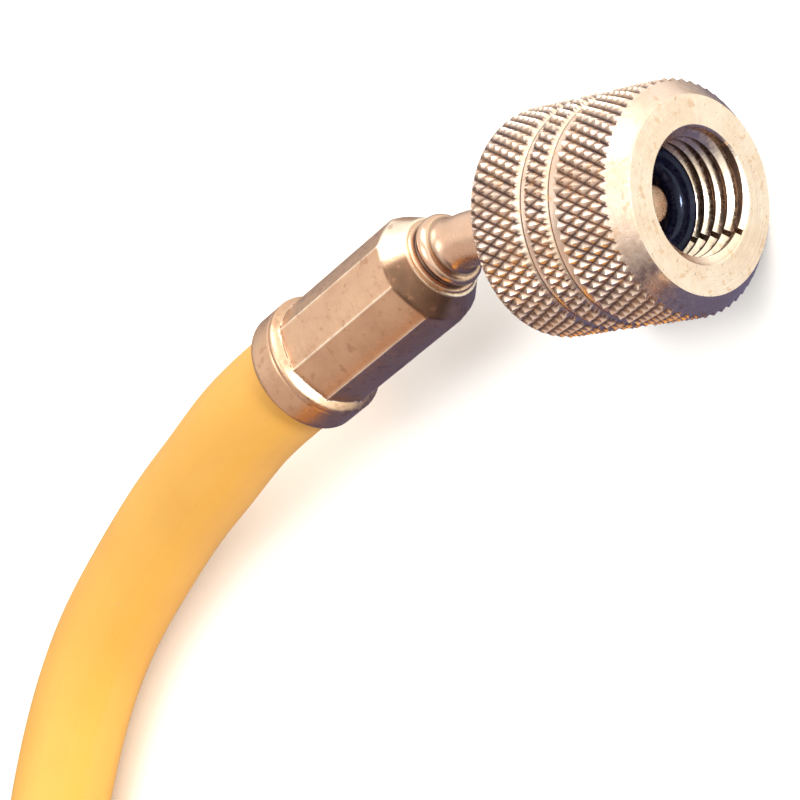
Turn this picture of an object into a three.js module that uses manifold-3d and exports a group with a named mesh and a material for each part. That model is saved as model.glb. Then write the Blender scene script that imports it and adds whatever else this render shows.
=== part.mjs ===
// Refrigerant charging hose: a yellow hose with a knurled brass swivel nut on each end.
// One end has a short bent stem, the other a straight one. The hose lies on a level surface,
// and the length that isn't needed is wound into a tied coil. Millimetres, +Z up.
// The origin is under the middle of the bent end, on the surface that the hose lies on.
import * as THREE from 'three';
import * as BufferGeometryUtils from 'three/addons/utils/BufferGeometryUtils.js';
import Module from 'manifold-3d';

const wasm = await Module();
wasm.setup();

const CLEARANCE = 0.3;
const ROUND_SIDES = 36;

// Swivel nut, measured back from its front face.
const NUT_RADIUS = 9.85;
const NUT_LENGTH = 16.9;
const NUT_FACE_RADIUS = 8.27;
const NUT_BEVEL_LENGTH = 1.75;
const NUT_BACK_CHAMFER = 0.35;
const NUT_GROOVE_DEPTH = 0.45;
const NUT_GROOVE_FRONTS = [6.98, 10.51];
const NUT_GROOVE_WIDTHS = [1.58, 1.27];

// Threaded mouth for a 7/16-20 flare.
const THREAD_PITCH = 1.27;
const THREAD_MINOR_RADIUS = 4.94;
const THREAD_MAJOR_RADIUS = 5.56;
const THREAD_LENGTH = 6.6;
const THREAD_CREST_FLAT = 0.16;
const THREAD_OVERCUT = 0.2;
const THREAD_STEPS_PER_TURN = 18;
const MOUTH_CHAMFER_RADIUS = 5.68;
const MOUTH_CHAMFER_DEPTH = 0.75;
const VENT_SLOT_WIDTH = 1.1;
const VENT_SLOT_RADIUS = 5.85;
const VENT_SLOT_ANGLE = THREE.MathUtils.degToRad(-121);

// Stem head, trapped in the nut, and the seal that lies on it.
const SEAL_FRONT = 5.4;
const SEAL_THICKNESS = 2.3;
const SEAL_RADIUS = THREAD_MINOR_RADIUS - CLEARANCE;
const SEAL_HOLE_RADIUS = 2.6;
const SEAL_ROUNDING = 0.8;
const HEAD_THICKNESS = 2.5;
const HEAD_RADIUS = 5.4;
const HEAD_CHAMBER_RADIUS = HEAD_RADIUS + CLEARANCE;
const BARREL_RADIUS = 3.1;
const BARREL_STICK_OUT = 1.4;
const NECK_RADIUS = 2.42;
const NECK_TAPER = 1.2;
const PASSAGE_RADIUS = 1.6;

// Core depressor: a post on a four-armed foot, in the hole of the seal.
const POST_RADIUS = 1.5;
const POST_CHAMFER = 0.25;
const POST_RECESS = 0.1;
const FOOT_RADIUS = SEAL_HOLE_RADIUS - CLEARANCE;
const FOOT_WIDTH = 1.2;
const FOOT_THICKNESS = 0.8;
const FOOT_LAP = 0.2;

// Bend of the stem, on the nut's axis behind its front face.
const BEND_STATION = 28.2;
const BEND_ANGLE = THREE.MathUtils.degToRad(22.7);
const BEND_RADIUS = 10;
const BEND_DROP = THREE.MathUtils.degToRad(0.6);
const BEND_STEPS = 6;

// Stem collars, measured from the bend along the hose's end.
const NECK_OVERLAP = 0.4;
const NECK_UNDERSIZE = 0.1;
const NECK_DOME_LENGTH = 0.3;
const NECK_DOME_RISE = 0.5;
const COLLAR_ONE_FRONT = 1.2;
const COLLAR_ONE_LENGTH = 1.2;
const COLLAR_ONE_RADIUS = 4.1;
const COLLAR_GROOVE_LENGTH = 0.4;
const COLLAR_GROOVE_RADIUS = 3.6;
const COLLAR_TWO_LENGTH = 0.5;
const COLLAR_TWO_RADIUS = 4.3;
const COLLAR_TWO_FRONT = COLLAR_ONE_FRONT + COLLAR_ONE_LENGTH + COLLAR_GROOVE_LENGTH;
const COLLAR_TWO_BACK = COLLAR_TWO_FRONT + COLLAR_TWO_LENGTH;
const COLLAR_ROUNDING = 0.3;
const SHANK_RADIUS = 3.0;
const TAIL_RADIUS = 2.6;
const TAIL_END = 23.2;

// Crimped ferrule, measured from the bend.
const FERRULE_FRONT = COLLAR_TWO_BACK + CLEARANCE;
const FERRULE_NOSE_RADIUS = 4.45;
const FERRULE_NOSE_LENGTH = 1.7;
const FERRULE_NOSE_STEP = 0.6;
const FERRULE_LAP = 0.3;
const FERRULE_NOSE_WALL = 3.4;
const CRIMP_SIDES = 8;
const CRIMP_FLAT_RADIUS = 5.1;
const CRIMP_CORNER_RADIUS = 5.45;
const CRIMP_CORNER_ANGLE = THREE.MathUtils.degToRad(-19);
const CRIMP_END = 20.3;
const SKIRT_RADIUS = 6.06;
const SKIRT_RISE = 0.9;
const SKIRT_CHAMFER = 0.25;
const CUFF_UNDERSIZE = 0.2;
const FERRULE_END = 24.2;
const SHELL_WALL = 0.75;
const MOUTH_DEPTH = 2.4;
const OVERSHOOT = 1;

// Hose.
const HOSE_RADIUS = 5.1;
const HOSE_SIDES = 12;
const HOSE_STEP = 22;
const HOSE_LAP = 0.5;
const CLAMPED_RADIUS = CRIMP_FLAT_RADIUS - SHELL_WALL - CLEARANCE;
const CLAMPED_BORE_RADIUS = TAIL_RADIUS + CLEARANCE;

// Coil of the spare hose: two turns side by side and two layers, and its tie.
const COIL_CENTRE = [-45.7, -124.2];
const COIL_OUTER_TURN = 61.8;
const COIL_INNER_TURN = 51.4;
const COIL_WALL = HOSE_RADIUS + 0.1;
const COIL_HEIGHT = 20.6;
const COIL_ROUNDING = 4.5;
const COIL_SIDES = 48;
const CORNER_STEPS = 2;
const TIE_WIDTH = 4.8;
const TIE_THICKNESS = 1.1;
const TIE_HEAD = [5.5, 7.5, 6];
const TIE_ANGLE = THREE.MathUtils.degToRad(225);

// Centreline of the hose from the bent end to the coil, from the nut's face centre,
// with heights above the surface.
const LEAD_POINTS = [
  [-60.0, -13.35, 9.0],
  [-66.9, -17.0, 7.9],
  [-73.9, -20.7, 6.7],
  [-79.6, -24.5, 5.9],
  [-84.5, -28.3, 5.4],
  [-88.6, -32.2, 5.2],
  [-91.9, -36.4, 5.15],
  [-94.8, -41.2, 5.15],
  [-98.6, -49.5, 5.15],
  [-102.0, -60.0, 5.15],
  [-104.8, -73.0, 5.15],
  [-106.4, -87.0, 5.15],
  [-107.2, -101.0, 5.15],
  [-107.5, -112.0, 5.15],
  [-107.5, -124.2, 5.15],
];

// Centreline of the hose from the top of the coil to the straight end.
const TAIL_POINTS = [
  [-45.7, -186.0, 15.45],
  [-34.0, -186.0, 15.5],
  [-23.8, -186.0, 15.1],
  [-13.4, -185.1, 13.7],
  [-2.3, -182.0, 11.9],
  [8.0, -176.9, 10.4],
  [17.1, -169.9, 9.5],
  [24.7, -161.3, 9.1],
  [30.6, -151.4, 9.1],
  [34.7, -139.5, 9.4],
  [36.2, -126.0, 9.75],
];
const STRAIGHT_END_X = 36.2;
const STRAIGHT_END_Y = -110.5;

const BRASS = { color: 0xd9a877, roughness: 0.32, metalness: 0.9 };
const DULL_BRASS = { color: 0xcf9a68, roughness: 0.42, metalness: 0.9 };
const YELLOW_RUBBER = { color: 0xf5b247, roughness: 0.55, metalness: 0.0 };
const BLACK_RUBBER = { color: 0x16161a, roughness: 0.5, metalness: 0.0 };
const BLACK_PLASTIC = { color: 0x1c1c1e, roughness: 0.45, metalness: 0.0 };

function toSolid(geometry) {
  const bare = geometry.clone();
  bare.deleteAttribute('normal');
  bare.deleteAttribute('uv');
  const merged = BufferGeometryUtils.mergeVertices(bare, 1e-4);
  const mesh = new wasm.Mesh({
    numProp: 3,
    vertProperties: new Float32Array(merged.attributes.position.array),
    triVerts: new Uint32Array(merged.index.array),
  });
  return new wasm.Manifold(mesh);
}

function toGeometry(solid) {
  const mesh = solid.getMesh();
  const geometry = new THREE.BufferGeometry();
  geometry.setAttribute('position', new THREE.BufferAttribute(mesh.vertProperties.slice(), 3));
  geometry.setIndex(new THREE.BufferAttribute(mesh.triVerts.slice(), 1));
  geometry.computeVertexNormals();
  return geometry;
}

function toMesh(name, geometry, finish) {
  const mesh = new THREE.Mesh(geometry, new THREE.MeshStandardMaterial(finish));
  mesh.name = name;
  return mesh;
}

function union(solids) {
  return solids.reduce((whole, next) => whole.add(next));
}

// A solid turned about X from [station, radius] pairs that go round the section, first pair last
// where the section stays off the axis.
function turned(section, sides = ROUND_SIDES) {
  const points = section.map(([station, radius]) => new THREE.Vector2(radius, station));
  const geometry = new THREE.LatheGeometry(points, sides);
  geometry.rotateZ(-Math.PI / 2);
  return toSolid(facingOut(geometry));
}

function rod(front, back, radius, sides = ROUND_SIDES) {
  return turned([[front, 0], [back, 0], [back, radius], [front, radius], [front, 0]], sides);
}

// Turns a closed geometry's triangles round if they face in.
function facingOut(geometry) {
  const indexed = geometry.index ? geometry : BufferGeometryUtils.mergeVertices(geometry);
  const index = indexed.index.array;
  const position = indexed.attributes.position;
  const corners = [new THREE.Vector3(), new THREE.Vector3(), new THREE.Vector3()];
  let volume = 0;
  for (let i = 0; i < index.length; i += 3) {
    corners.forEach((corner, k) => corner.fromBufferAttribute(position, index[i + k]));
    volume += corners[0].dot(corners[1].clone().cross(corners[2]));
  }
  if (volume < 0) {
    for (let i = 0; i < index.length; i += 3) {
      [index[i], index[i + 1]] = [index[i + 1], index[i]];
    }
  }
  return indexed;
}

function disc(radius, sides) {
  const shape = new THREE.Shape();
  for (let i = 0; i < sides; i += 1) {
    const angle = (i / sides) * 2 * Math.PI;
    shape[i === 0 ? 'moveTo' : 'lineTo'](radius * Math.cos(angle), radius * Math.sin(angle));
  }
  shape.closePath();
  return shape;
}

function tubeAlong(path, radius, sides, steps) {
  const geometry = new THREE.ExtrudeGeometry(disc(radius, sides), { steps, extrudePath: path });
  return toSolid(facingOut(geometry));
}

// The V that runs round the inside of the mouth as a helix about X.
function threadCutter() {
  const reach = THREAD_MAJOR_RADIUS - THREAD_MINOR_RADIUS + THREAD_OVERCUT;
  const rootHalf = THREAD_CREST_FLAT / 2;
  const baseHalf = rootHalf + reach * Math.tan(Math.PI / 6);
  const section = [
    [-baseHalf, THREAD_MAJOR_RADIUS - reach],
    [-rootHalf, THREAD_MAJOR_RADIUS],
    [rootHalf, THREAD_MAJOR_RADIUS],
    [baseHalf, THREAD_MAJOR_RADIUS - reach],
  ];
  const turns = THREAD_LENGTH / THREAD_PITCH + 1;
  const steps = Math.round(turns * THREAD_STEPS_PER_TURN);
  const positions = [];
  for (let i = 0; i <= steps; i += 1) {
    const angle = (i / THREAD_STEPS_PER_TURN) * 2 * Math.PI;
    const station = THREAD_PITCH * (1 - i / THREAD_STEPS_PER_TURN);
    for (const [offset, radius] of section) {
      positions.push(station + offset, radius * Math.cos(angle), radius * Math.sin(angle));
    }
  }
  const triangles = [0, 1, 2, 0, 2, 3];
  for (let i = 0; i < steps; i += 1) {
    for (let k = 0; k < 4; k += 1) {
      const here = i * 4 + k;
      const beside = i * 4 + ((k + 1) % 4);
      triangles.push(here, here + 4, beside, beside, here + 4, beside + 4);
    }
  }
  const last = steps * 4;
  triangles.push(last, last + 2, last + 1, last, last + 3, last + 2);
  const geometry = new THREE.BufferGeometry();
  geometry.setAttribute('position', new THREE.Float32BufferAttribute(positions, 3));
  geometry.setIndex(triangles);
  return toSolid(facingOut(geometry));
}

function nutSolid() {
  const bevelBack = -NUT_BEVEL_LENGTH;
  const outside = [[0, NUT_FACE_RADIUS], [bevelBack, NUT_RADIUS]];
  NUT_GROOVE_FRONTS.forEach((front, i) => {
    const back = front + NUT_GROOVE_WIDTHS[i];
    const bottom = NUT_RADIUS - NUT_GROOVE_DEPTH;
    outside.push([-front, NUT_RADIUS], [-front - NUT_GROOVE_DEPTH, bottom]);
    outside.push([-back + NUT_GROOVE_DEPTH, bottom], [-back, NUT_RADIUS]);
  });
  outside.push([-NUT_LENGTH + NUT_BACK_CHAMFER, NUT_RADIUS], [-NUT_LENGTH, NUT_RADIUS - NUT_BACK_CHAMFER]);
  const headBack = -(SEAL_FRONT + SEAL_THICKNESS + CLEARANCE + HEAD_THICKNESS + CLEARANCE);
  const inside = [
    [-NUT_LENGTH, BARREL_RADIUS + CLEARANCE],
    [headBack, BARREL_RADIUS + CLEARANCE],
    [headBack, HEAD_CHAMBER_RADIUS],
    [-THREAD_LENGTH, HEAD_CHAMBER_RADIUS],
    [-THREAD_LENGTH, THREAD_MINOR_RADIUS],
    [-MOUTH_CHAMFER_DEPTH, THREAD_MINOR_RADIUS],
    [0, MOUTH_CHAMFER_RADIUS],
    [0, NUT_FACE_RADIUS],
  ];
  const slot = new THREE.BoxGeometry(THREAD_LENGTH, VENT_SLOT_RADIUS, VENT_SLOT_WIDTH);
  slot.translate(-THREAD_LENGTH / 2 - MOUTH_CHAMFER_DEPTH / 2, VENT_SLOT_RADIUS / 2, 0);
  slot.rotateX(VENT_SLOT_ANGLE);
  const blank = turned([...outside, ...inside]);
  return blank.subtract(threadCutter()).subtract(toSolid(slot));
}

function sealGeometry() {
  const front = -SEAL_FRONT;
  const back = front - SEAL_THICKNESS;
  const section = [[back, SEAL_HOLE_RADIUS], [back, SEAL_RADIUS]];
  for (let i = 0; i <= 2; i += 1) {
    const angle = (i / 2) * (Math.PI / 2);
    section.push([
      front - SEAL_ROUNDING * (1 - Math.sin(angle)),
      SEAL_RADIUS - SEAL_ROUNDING * (1 - Math.cos(angle)),
    ]);
  }
  for (let i = 0; i <= 2; i += 1) {
    const angle = (i / 2) * (Math.PI / 2);
    section.push([
      front - SEAL_ROUNDING * (1 - Math.cos(angle)),
      SEAL_HOLE_RADIUS + SEAL_ROUNDING * (1 - Math.sin(angle)),
    ]);
  }
  section.push([back, SEAL_HOLE_RADIUS]);
  return toGeometry(turned(section));
}

// Frame of the hose's end: X from the bend toward the nut's side, so stations are negative.
function hoseEndMatrix(bend, drop) {
  const matrix = new THREE.Matrix4().makeTranslation(-BEND_STATION, 0, 0);
  const turn = new THREE.Matrix4().makeRotationZ(bend);
  const fall = new THREE.Matrix4().makeRotationY(-drop);
  return matrix.multiply(turn).multiply(fall);
}

function stemPath(bend, drop) {
  const front = -(SEAL_FRONT + SEAL_THICKNESS + CLEARANCE);
  const toEnd = hoseEndMatrix(bend, drop);
  const reach = BEND_RADIUS * Math.tan(bend / 2);
  const path = new THREE.CurvePath();
  const corner = new THREE.Vector3(-BEND_STATION, 0, 0);
  const before = new THREE.Vector3(-BEND_STATION + reach, 0, 0);
  const after = new THREE.Vector3(-reach, 0, 0).applyMatrix4(toEnd);
  const end = new THREE.Vector3(-TAIL_END, 0, 0).applyMatrix4(toEnd);
  path.add(new THREE.LineCurve3(new THREE.Vector3(front, 0, 0), before));
  path.add(new THREE.QuadraticBezierCurve3(before, corner, after));
  path.add(new THREE.LineCurve3(after, end));
  return path;
}

// A rod that follows the stem between two stations of its path, straight or bent.
function alongStem(radius, bend, drop, overshoot = 0) {
  const front = -(SEAL_FRONT + SEAL_THICKNESS + CLEARANCE);
  if (bend === 0) {
    return rod(-BEND_STATION - TAIL_END - overshoot, front + overshoot, radius);
  }
  const path = stemPath(bend, drop);
  const points = [];
  for (let i = 0; i <= BEND_STEPS; i += 1) {
    points.push(path.curves[1].getPoint(i / BEND_STEPS));
  }
  const first = path.curves[0].v1.clone();
  const last = path.curves[2].v2.clone();
  first.x += overshoot;
  const onward = last.clone().sub(path.curves[2].v1).normalize();
  last.addScaledVector(onward, overshoot);
  const curve = new Polyline([first, ...points, last]);
  return tubeAlong(curve, radius, ROUND_SIDES / 2, points.length + 1);
}

// A curve through points with straight stretches, with its length shared out evenly.
class Polyline extends THREE.Curve {
  constructor(points) {
    super();
    this.points = points;
  }

  getPoint(t, target = new THREE.Vector3()) {
    const along = t * (this.points.length - 1);
    const i = Math.min(Math.floor(along), this.points.length - 2);
    return target.lerpVectors(this.points[i], this.points[i + 1], along - i);
  }
}

function stemSolid(bend, drop) {
  const headFront = -(SEAL_FRONT + SEAL_THICKNESS + CLEARANCE);
  const headBack = headFront - HEAD_THICKNESS;
  const barrelBack = -(NUT_LENGTH + BARREL_STICK_OUT);
  const inNut = turned([
    [headFront, 0],
    [headFront, HEAD_RADIUS],
    [headBack, HEAD_RADIUS],
    [headBack, BARREL_RADIUS],
    [barrelBack, BARREL_RADIUS],
    [barrelBack - NECK_TAPER, NECK_RADIUS],
    [barrelBack - NECK_TAPER, 0],
  ]);
  const one = -COLLAR_ONE_FRONT;
  const groove = one - COLLAR_ONE_LENGTH;
  const two = -COLLAR_TWO_FRONT;
  const shank = -COLLAR_TWO_BACK;
  const tail = -(FERRULE_FRONT + FERRULE_NOSE_WALL);
  const inHose = turned([
    [NECK_OVERLAP, 0],
    [NECK_OVERLAP, NECK_RADIUS - NECK_UNDERSIZE],
    [one + NECK_DOME_LENGTH, NECK_RADIUS + NECK_DOME_RISE],
    [one, COLLAR_ONE_RADIUS - 2 * COLLAR_ROUNDING],
    [one - COLLAR_ROUNDING, COLLAR_ONE_RADIUS - COLLAR_ROUNDING / 3],
    [one - COLLAR_ONE_LENGTH / 2, COLLAR_ONE_RADIUS],
    [groove, COLLAR_ONE_RADIUS - COLLAR_ROUNDING],
    [groove - COLLAR_GROOVE_LENGTH / 2, COLLAR_GROOVE_RADIUS],
    [two, COLLAR_TWO_RADIUS - COLLAR_ROUNDING],
    [two - COLLAR_ROUNDING, COLLAR_TWO_RADIUS],
    [shank, COLLAR_TWO_RADIUS],
    [shank, SHANK_RADIUS],
    [tail, SHANK_RADIUS],
    [tail, TAIL_RADIUS],
    [-TAIL_END, TAIL_RADIUS],
    [-TAIL_END, 0],
  ]).transform(hoseEndMatrix(bend, drop).elements);
  const outside = union([inNut, alongStem(NECK_RADIUS, bend, drop), inHose]);
  return outside.subtract(alongStem(PASSAGE_RADIUS, bend, drop, OVERSHOOT));
}

function depressorSolid() {
  const footBack = -(SEAL_FRONT + SEAL_THICKNESS);
  const footFront = footBack + FOOT_THICKNESS;
  const tip = -(SEAL_FRONT + POST_RECESS);
  const post = turned([
    [footFront - FOOT_LAP, 0],
    [footFront - FOOT_LAP, POST_RADIUS],
    [tip - POST_CHAMFER, POST_RADIUS],
    [tip, POST_RADIUS - POST_CHAMFER],
    [tip, 0],
  ]);
  const bar = new THREE.BoxGeometry(FOOT_THICKNESS, 3 * FOOT_RADIUS, FOOT_WIDTH);
  bar.translate((footBack + footFront) / 2, 0, 0);
  const crossBar = bar.clone().rotateX(Math.PI / 2);
  const cross = toSolid(bar).add(toSolid(crossBar));
  const foot = cross.intersect(rod(footBack - OVERSHOOT, footFront + OVERSHOOT, FOOT_RADIUS));
  return foot.add(post);
}

function ferruleSolid(bend, drop) {
  const nose = FERRULE_FRONT + FERRULE_NOSE_LENGTH;
  const skirt = CRIMP_END + SKIRT_RISE;
  const blank = turned([
    [-FERRULE_FRONT, 0],
    [-FERRULE_FRONT, FERRULE_NOSE_RADIUS],
    [-nose + FERRULE_NOSE_STEP, CRIMP_FLAT_RADIUS - NECK_UNDERSIZE],
    [-nose, CRIMP_CORNER_RADIUS],
    [-nose, 0],
  ]);
  const octagon = disc(CRIMP_FLAT_RADIUS / Math.cos(Math.PI / CRIMP_SIDES), CRIMP_SIDES);
  const prism = new THREE.ExtrudeGeometry(octagon, { depth: skirt - nose, steps: 1, bevelEnabled: false });
  prism.rotateZ(CRIMP_CORNER_ANGLE);
  prism.rotateY(Math.PI / 2);
  prism.translate(-skirt, 0, 0);
  const flats = toSolid(facingOut(prism)).intersect(rod(-skirt, -nose, CRIMP_CORNER_RADIUS));
  const cuff = turned([
    [-CRIMP_END + FERRULE_LAP, 0],
    [-CRIMP_END + FERRULE_LAP, CRIMP_FLAT_RADIUS - CUFF_UNDERSIZE],
    [-skirt, SKIRT_RADIUS],
    [-FERRULE_END + SKIRT_CHAMFER, SKIRT_RADIUS],
    [-FERRULE_END, SKIRT_RADIUS - SKIRT_CHAMFER],
    [-FERRULE_END, 0],
  ]);
  const chamberFront = -(FERRULE_FRONT + FERRULE_NOSE_WALL);
  const mouthFront = -FERRULE_END + MOUTH_DEPTH;
  const chamberRadius = CRIMP_FLAT_RADIUS - SHELL_WALL;
  const hollow = turned([
    [OVERSHOOT, 0],
    [OVERSHOOT, SHANK_RADIUS + CLEARANCE],
    [chamberFront, SHANK_RADIUS + CLEARANCE],
    [chamberFront, chamberRadius],
    [mouthFront + MOUTH_DEPTH / 2, chamberRadius],
    [mouthFront, HOSE_RADIUS + CLEARANCE],
    [-FERRULE_END - OVERSHOOT, HOSE_RADIUS + CLEARANCE],
    [-FERRULE_END - OVERSHOOT, 0],
  ]);
  return union([blank, flats, cuff]).subtract(hollow).transform(hoseEndMatrix(bend, drop).elements);
}

// The end of the hose that is clamped round the stem's tail, open toward the nut.
function clampedHose(bend, drop) {
  const front = -(FERRULE_FRONT + FERRULE_NOSE_WALL + CLEARANCE);
  const swell = -FERRULE_END + MOUTH_DEPTH;
  return turned([
    [front, CLAMPED_BORE_RADIUS],
    [front, CLAMPED_RADIUS],
    [swell + MOUTH_DEPTH / 2, CLAMPED_RADIUS],
    [swell, HOSE_RADIUS],
    [-FERRULE_END - OVERSHOOT, HOSE_RADIUS],
    [-FERRULE_END - OVERSHOOT, 0],
    [-TAIL_END - CLEARANCE, 0],
    [-TAIL_END - CLEARANCE, CLAMPED_BORE_RADIUS],
    [front, CLAMPED_BORE_RADIUS],
  ]).transform(hoseEndMatrix(bend, drop).elements);
}

function endFitting(prefix, bend, drop) {
  const group = new THREE.Group();
  group.add(toMesh(`${prefix}coupling_nut`, toGeometry(nutSolid()), BRASS));
  group.add(toMesh(`${prefix}seal_ring`, sealGeometry(), BLACK_RUBBER));
  group.add(toMesh(`${prefix}core_depressor`, toGeometry(depressorSolid()), BRASS));
  group.add(toMesh(`${prefix}hose_stem`, toGeometry(stemSolid(bend, drop)), BRASS));
  group.add(toMesh(`${prefix}crimp_ferrule`, toGeometry(ferruleSolid(bend, drop)), DULL_BRASS));
  return group;
}

function hoseTube(points) {
  const curve = new THREE.CatmullRomCurve3(points, false, 'centripetal');
  const steps = Math.round(curve.getLength() / HOSE_STEP);
  return tubeAlong(curve, HOSE_RADIUS, HOSE_SIDES, steps);
}

// A rounded ring round the coil's section: grown sideways by grow, between two heights.
function bundleRing(grow, low, high) {
  const inner = COIL_INNER_TURN - COIL_WALL - grow;
  const outer = COIL_OUTER_TURN + COIL_WALL + grow;
  const rounding = COIL_ROUNDING + grow;
  const corners = [
    [outer - rounding, low + rounding, -Math.PI / 2],
    [outer - rounding, high - rounding, 0],
    [inner + rounding, high - rounding, Math.PI / 2],
    [inner + rounding, low + rounding, Math.PI],
  ];
  const points = [];
  for (const [x, y, start] of corners) {
    for (let i = 0; i <= CORNER_STEPS; i += 1) {
      const angle = start + (i / CORNER_STEPS) * (Math.PI / 2);
      points.push(new THREE.Vector2(x + rounding * Math.cos(angle), y + rounding * Math.sin(angle)));
    }
  }
  points.push(points[0].clone());
  const geometry = new THREE.LatheGeometry(points, COIL_SIDES);
  geometry.rotateX(Math.PI / 2);
  geometry.translate(COIL_CENTRE[0], COIL_CENTRE[1], 0);
  return toSolid(facingOut(geometry));
}

// A block across the coil's section at the tie, wide enough to pass through it.
function tieSlab(width) {
  const middle = (COIL_OUTER_TURN + COIL_INNER_TURN) / 2;
  const slab = new THREE.BoxGeometry(3 * COIL_HEIGHT, width, 3 * COIL_HEIGHT);
  slab.translate(middle, 0, 0);
  slab.rotateZ(TIE_ANGLE);
  slab.translate(COIL_CENTRE[0], COIL_CENTRE[1], 0);
  return toSolid(slab);
}

// The tie passes under the coil, which rests on it there, and stands proud of its other sides.
function tieSolid() {
  const proud = CLEARANCE + TIE_THICKNESS;
  const outside = bundleRing(proud, 0, COIL_HEIGHT + proud);
  const inside = bundleRing(CLEARANCE, TIE_THICKNESS, COIL_HEIGHT + CLEARANCE);
  const band = outside.subtract(inside).intersect(tieSlab(TIE_WIDTH));
  const [depth, breadth, height] = TIE_HEAD;
  const head = new THREE.BoxGeometry(depth, breadth, height);
  const seat = COIL_OUTER_TURN + COIL_WALL + CLEARANCE + TIE_THICKNESS / 2;
  head.translate(seat + depth / 2, 0, COIL_HEIGHT / 2);
  head.rotateZ(TIE_ANGLE);
  head.translate(COIL_CENTRE[0], COIL_CENTRE[1], 0);
  return band.add(toSolid(head));
}

function coilSolid() {
  const waist = bundleRing(0, TIE_THICKNESS + CLEARANCE, COIL_HEIGHT);
  const notch = tieSlab(TIE_WIDTH + 2 * CLEARANCE).subtract(waist);
  return bundleRing(0, 0, COIL_HEIGHT).subtract(notch);
}

function spareHose() {
  const group = new THREE.Group();
  const bentEnd = hoseEndMatrix(BEND_ANGLE, BEND_DROP);
  const mouth = new THREE.Vector3(-FERRULE_END - HOSE_LAP, 0, 0).applyMatrix4(bentEnd);
  mouth.z += NUT_RADIUS;
  const leadPoints = [mouth, ...LEAD_POINTS.map((point) => new THREE.Vector3(...point))];
  const nearClamped = clampedHose(BEND_ANGLE, BEND_DROP).translate([0, 0, NUT_RADIUS]);
  const coilRoom = bundleRing(CLEARANCE, -CLEARANCE, COIL_HEIGHT + CLEARANCE);
  const lead = hoseTube(leadPoints).add(nearClamped).subtract(coilRoom);

  const straightPlace = straightEndMatrix();
  const straightMouth = new THREE.Vector3(-BEND_STATION - FERRULE_END - HOSE_LAP, 0, 0);
  straightMouth.applyMatrix4(straightPlace);
  const tailPoints = [...TAIL_POINTS.map((point) => new THREE.Vector3(...point)), straightMouth];
  const farClamped = clampedHose(0, 0).transform(straightPlace.elements);
  const tail = hoseTube(tailPoints).add(farClamped).subtract(coilRoom);

  group.add(toMesh('hose_lead', toGeometry(lead), YELLOW_RUBBER));
  group.add(toMesh('hose_coil', toGeometry(coilSolid()), YELLOW_RUBBER));
  group.add(toMesh('hose_tail', toGeometry(tail), YELLOW_RUBBER));
  group.add(toMesh('coil_tie', toGeometry(tieSolid()), BLACK_PLASTIC));
  return group;
}

// The straight end points along +Y, with its nut resting on the surface.
function straightEndMatrix() {
  const faceY = STRAIGHT_END_Y + FERRULE_END + BEND_STATION;
  const place = new THREE.Matrix4().makeTranslation(STRAIGHT_END_X, faceY, NUT_RADIUS);
  return place.multiply(new THREE.Matrix4().makeRotationZ(Math.PI / 2));
}

function chargingHose() {
  const whole = new THREE.Group();
  whole.name = 'charging_hose';
  const bentEnd = endFitting('', BEND_ANGLE, BEND_DROP);
  bentEnd.position.z = NUT_RADIUS;
  const straightEnd = endFitting('far_', 0, 0);
  straightEnd.applyMatrix4(straightEndMatrix());
  whole.add(bentEnd, straightEnd, spareHose());
  const footprint = new THREE.Box3().setFromObject(bentEnd);
  const middle = footprint.getCenter(new THREE.Vector3());
  whole.position.set(-middle.x, -middle.y, -footprint.min.z);
  return whole;
}

export default chargingHose();
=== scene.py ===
"""The finished look of a refrigerant charging hose.

A yellow rubber hose has a knurled brass swivel nut on each end, one on a short bent stem and one
on a straight stem. It lies on a pale floor, and its spare length is wound into a tied coil.
Every shape is worked out in millimetres and put into its mesh in metres.
"""

import logging
from dataclasses import dataclass, field
from enum import Enum

import bmesh
import bpy
import numpy as np
from mathutils import Matrix


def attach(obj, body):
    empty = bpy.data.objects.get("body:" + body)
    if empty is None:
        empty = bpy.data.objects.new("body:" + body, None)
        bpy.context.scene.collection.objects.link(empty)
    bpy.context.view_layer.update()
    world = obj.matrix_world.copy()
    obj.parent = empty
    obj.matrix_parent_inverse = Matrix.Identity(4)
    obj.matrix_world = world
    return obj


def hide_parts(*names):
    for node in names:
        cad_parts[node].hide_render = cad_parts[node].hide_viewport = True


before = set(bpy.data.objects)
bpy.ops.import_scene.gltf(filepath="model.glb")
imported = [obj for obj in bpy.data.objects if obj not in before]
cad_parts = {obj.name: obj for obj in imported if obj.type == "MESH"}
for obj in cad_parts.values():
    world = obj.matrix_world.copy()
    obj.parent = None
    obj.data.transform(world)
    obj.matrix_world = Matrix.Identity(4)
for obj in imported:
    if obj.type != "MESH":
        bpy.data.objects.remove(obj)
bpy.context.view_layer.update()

logging.basicConfig(level=logging.INFO, format="%(message)s")
LOG = logging.getLogger("charging_hose")

MM = 0.001
FULL_TURN = 2.0 * np.pi
QUARTER_TURN = FULL_TURN / 4.0
BARE_RELIEF = 0.7

Pair = tuple[float, float]
Triple = tuple[float, float, float]
Colour = tuple[float, float, float, float]
Socket = bpy.types.NodeSocket


class Body(Enum):
    """The bodies that the pieces ride on."""

    ROOT = "root"
    BENT_END_NUT = "bent_end_nut"
    STRAIGHT_END_NUT = "straight_end_nut"


class Slot(Enum):
    """The part's material slots."""

    NUT = "nut_brass"
    STEM = "stem_brass"
    FERRULE = "ferrule_brass"
    HOSE = "hose_rubber"
    SEAL = "seal_rubber"
    TIE = "tie_plastic"


# Shapes


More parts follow.
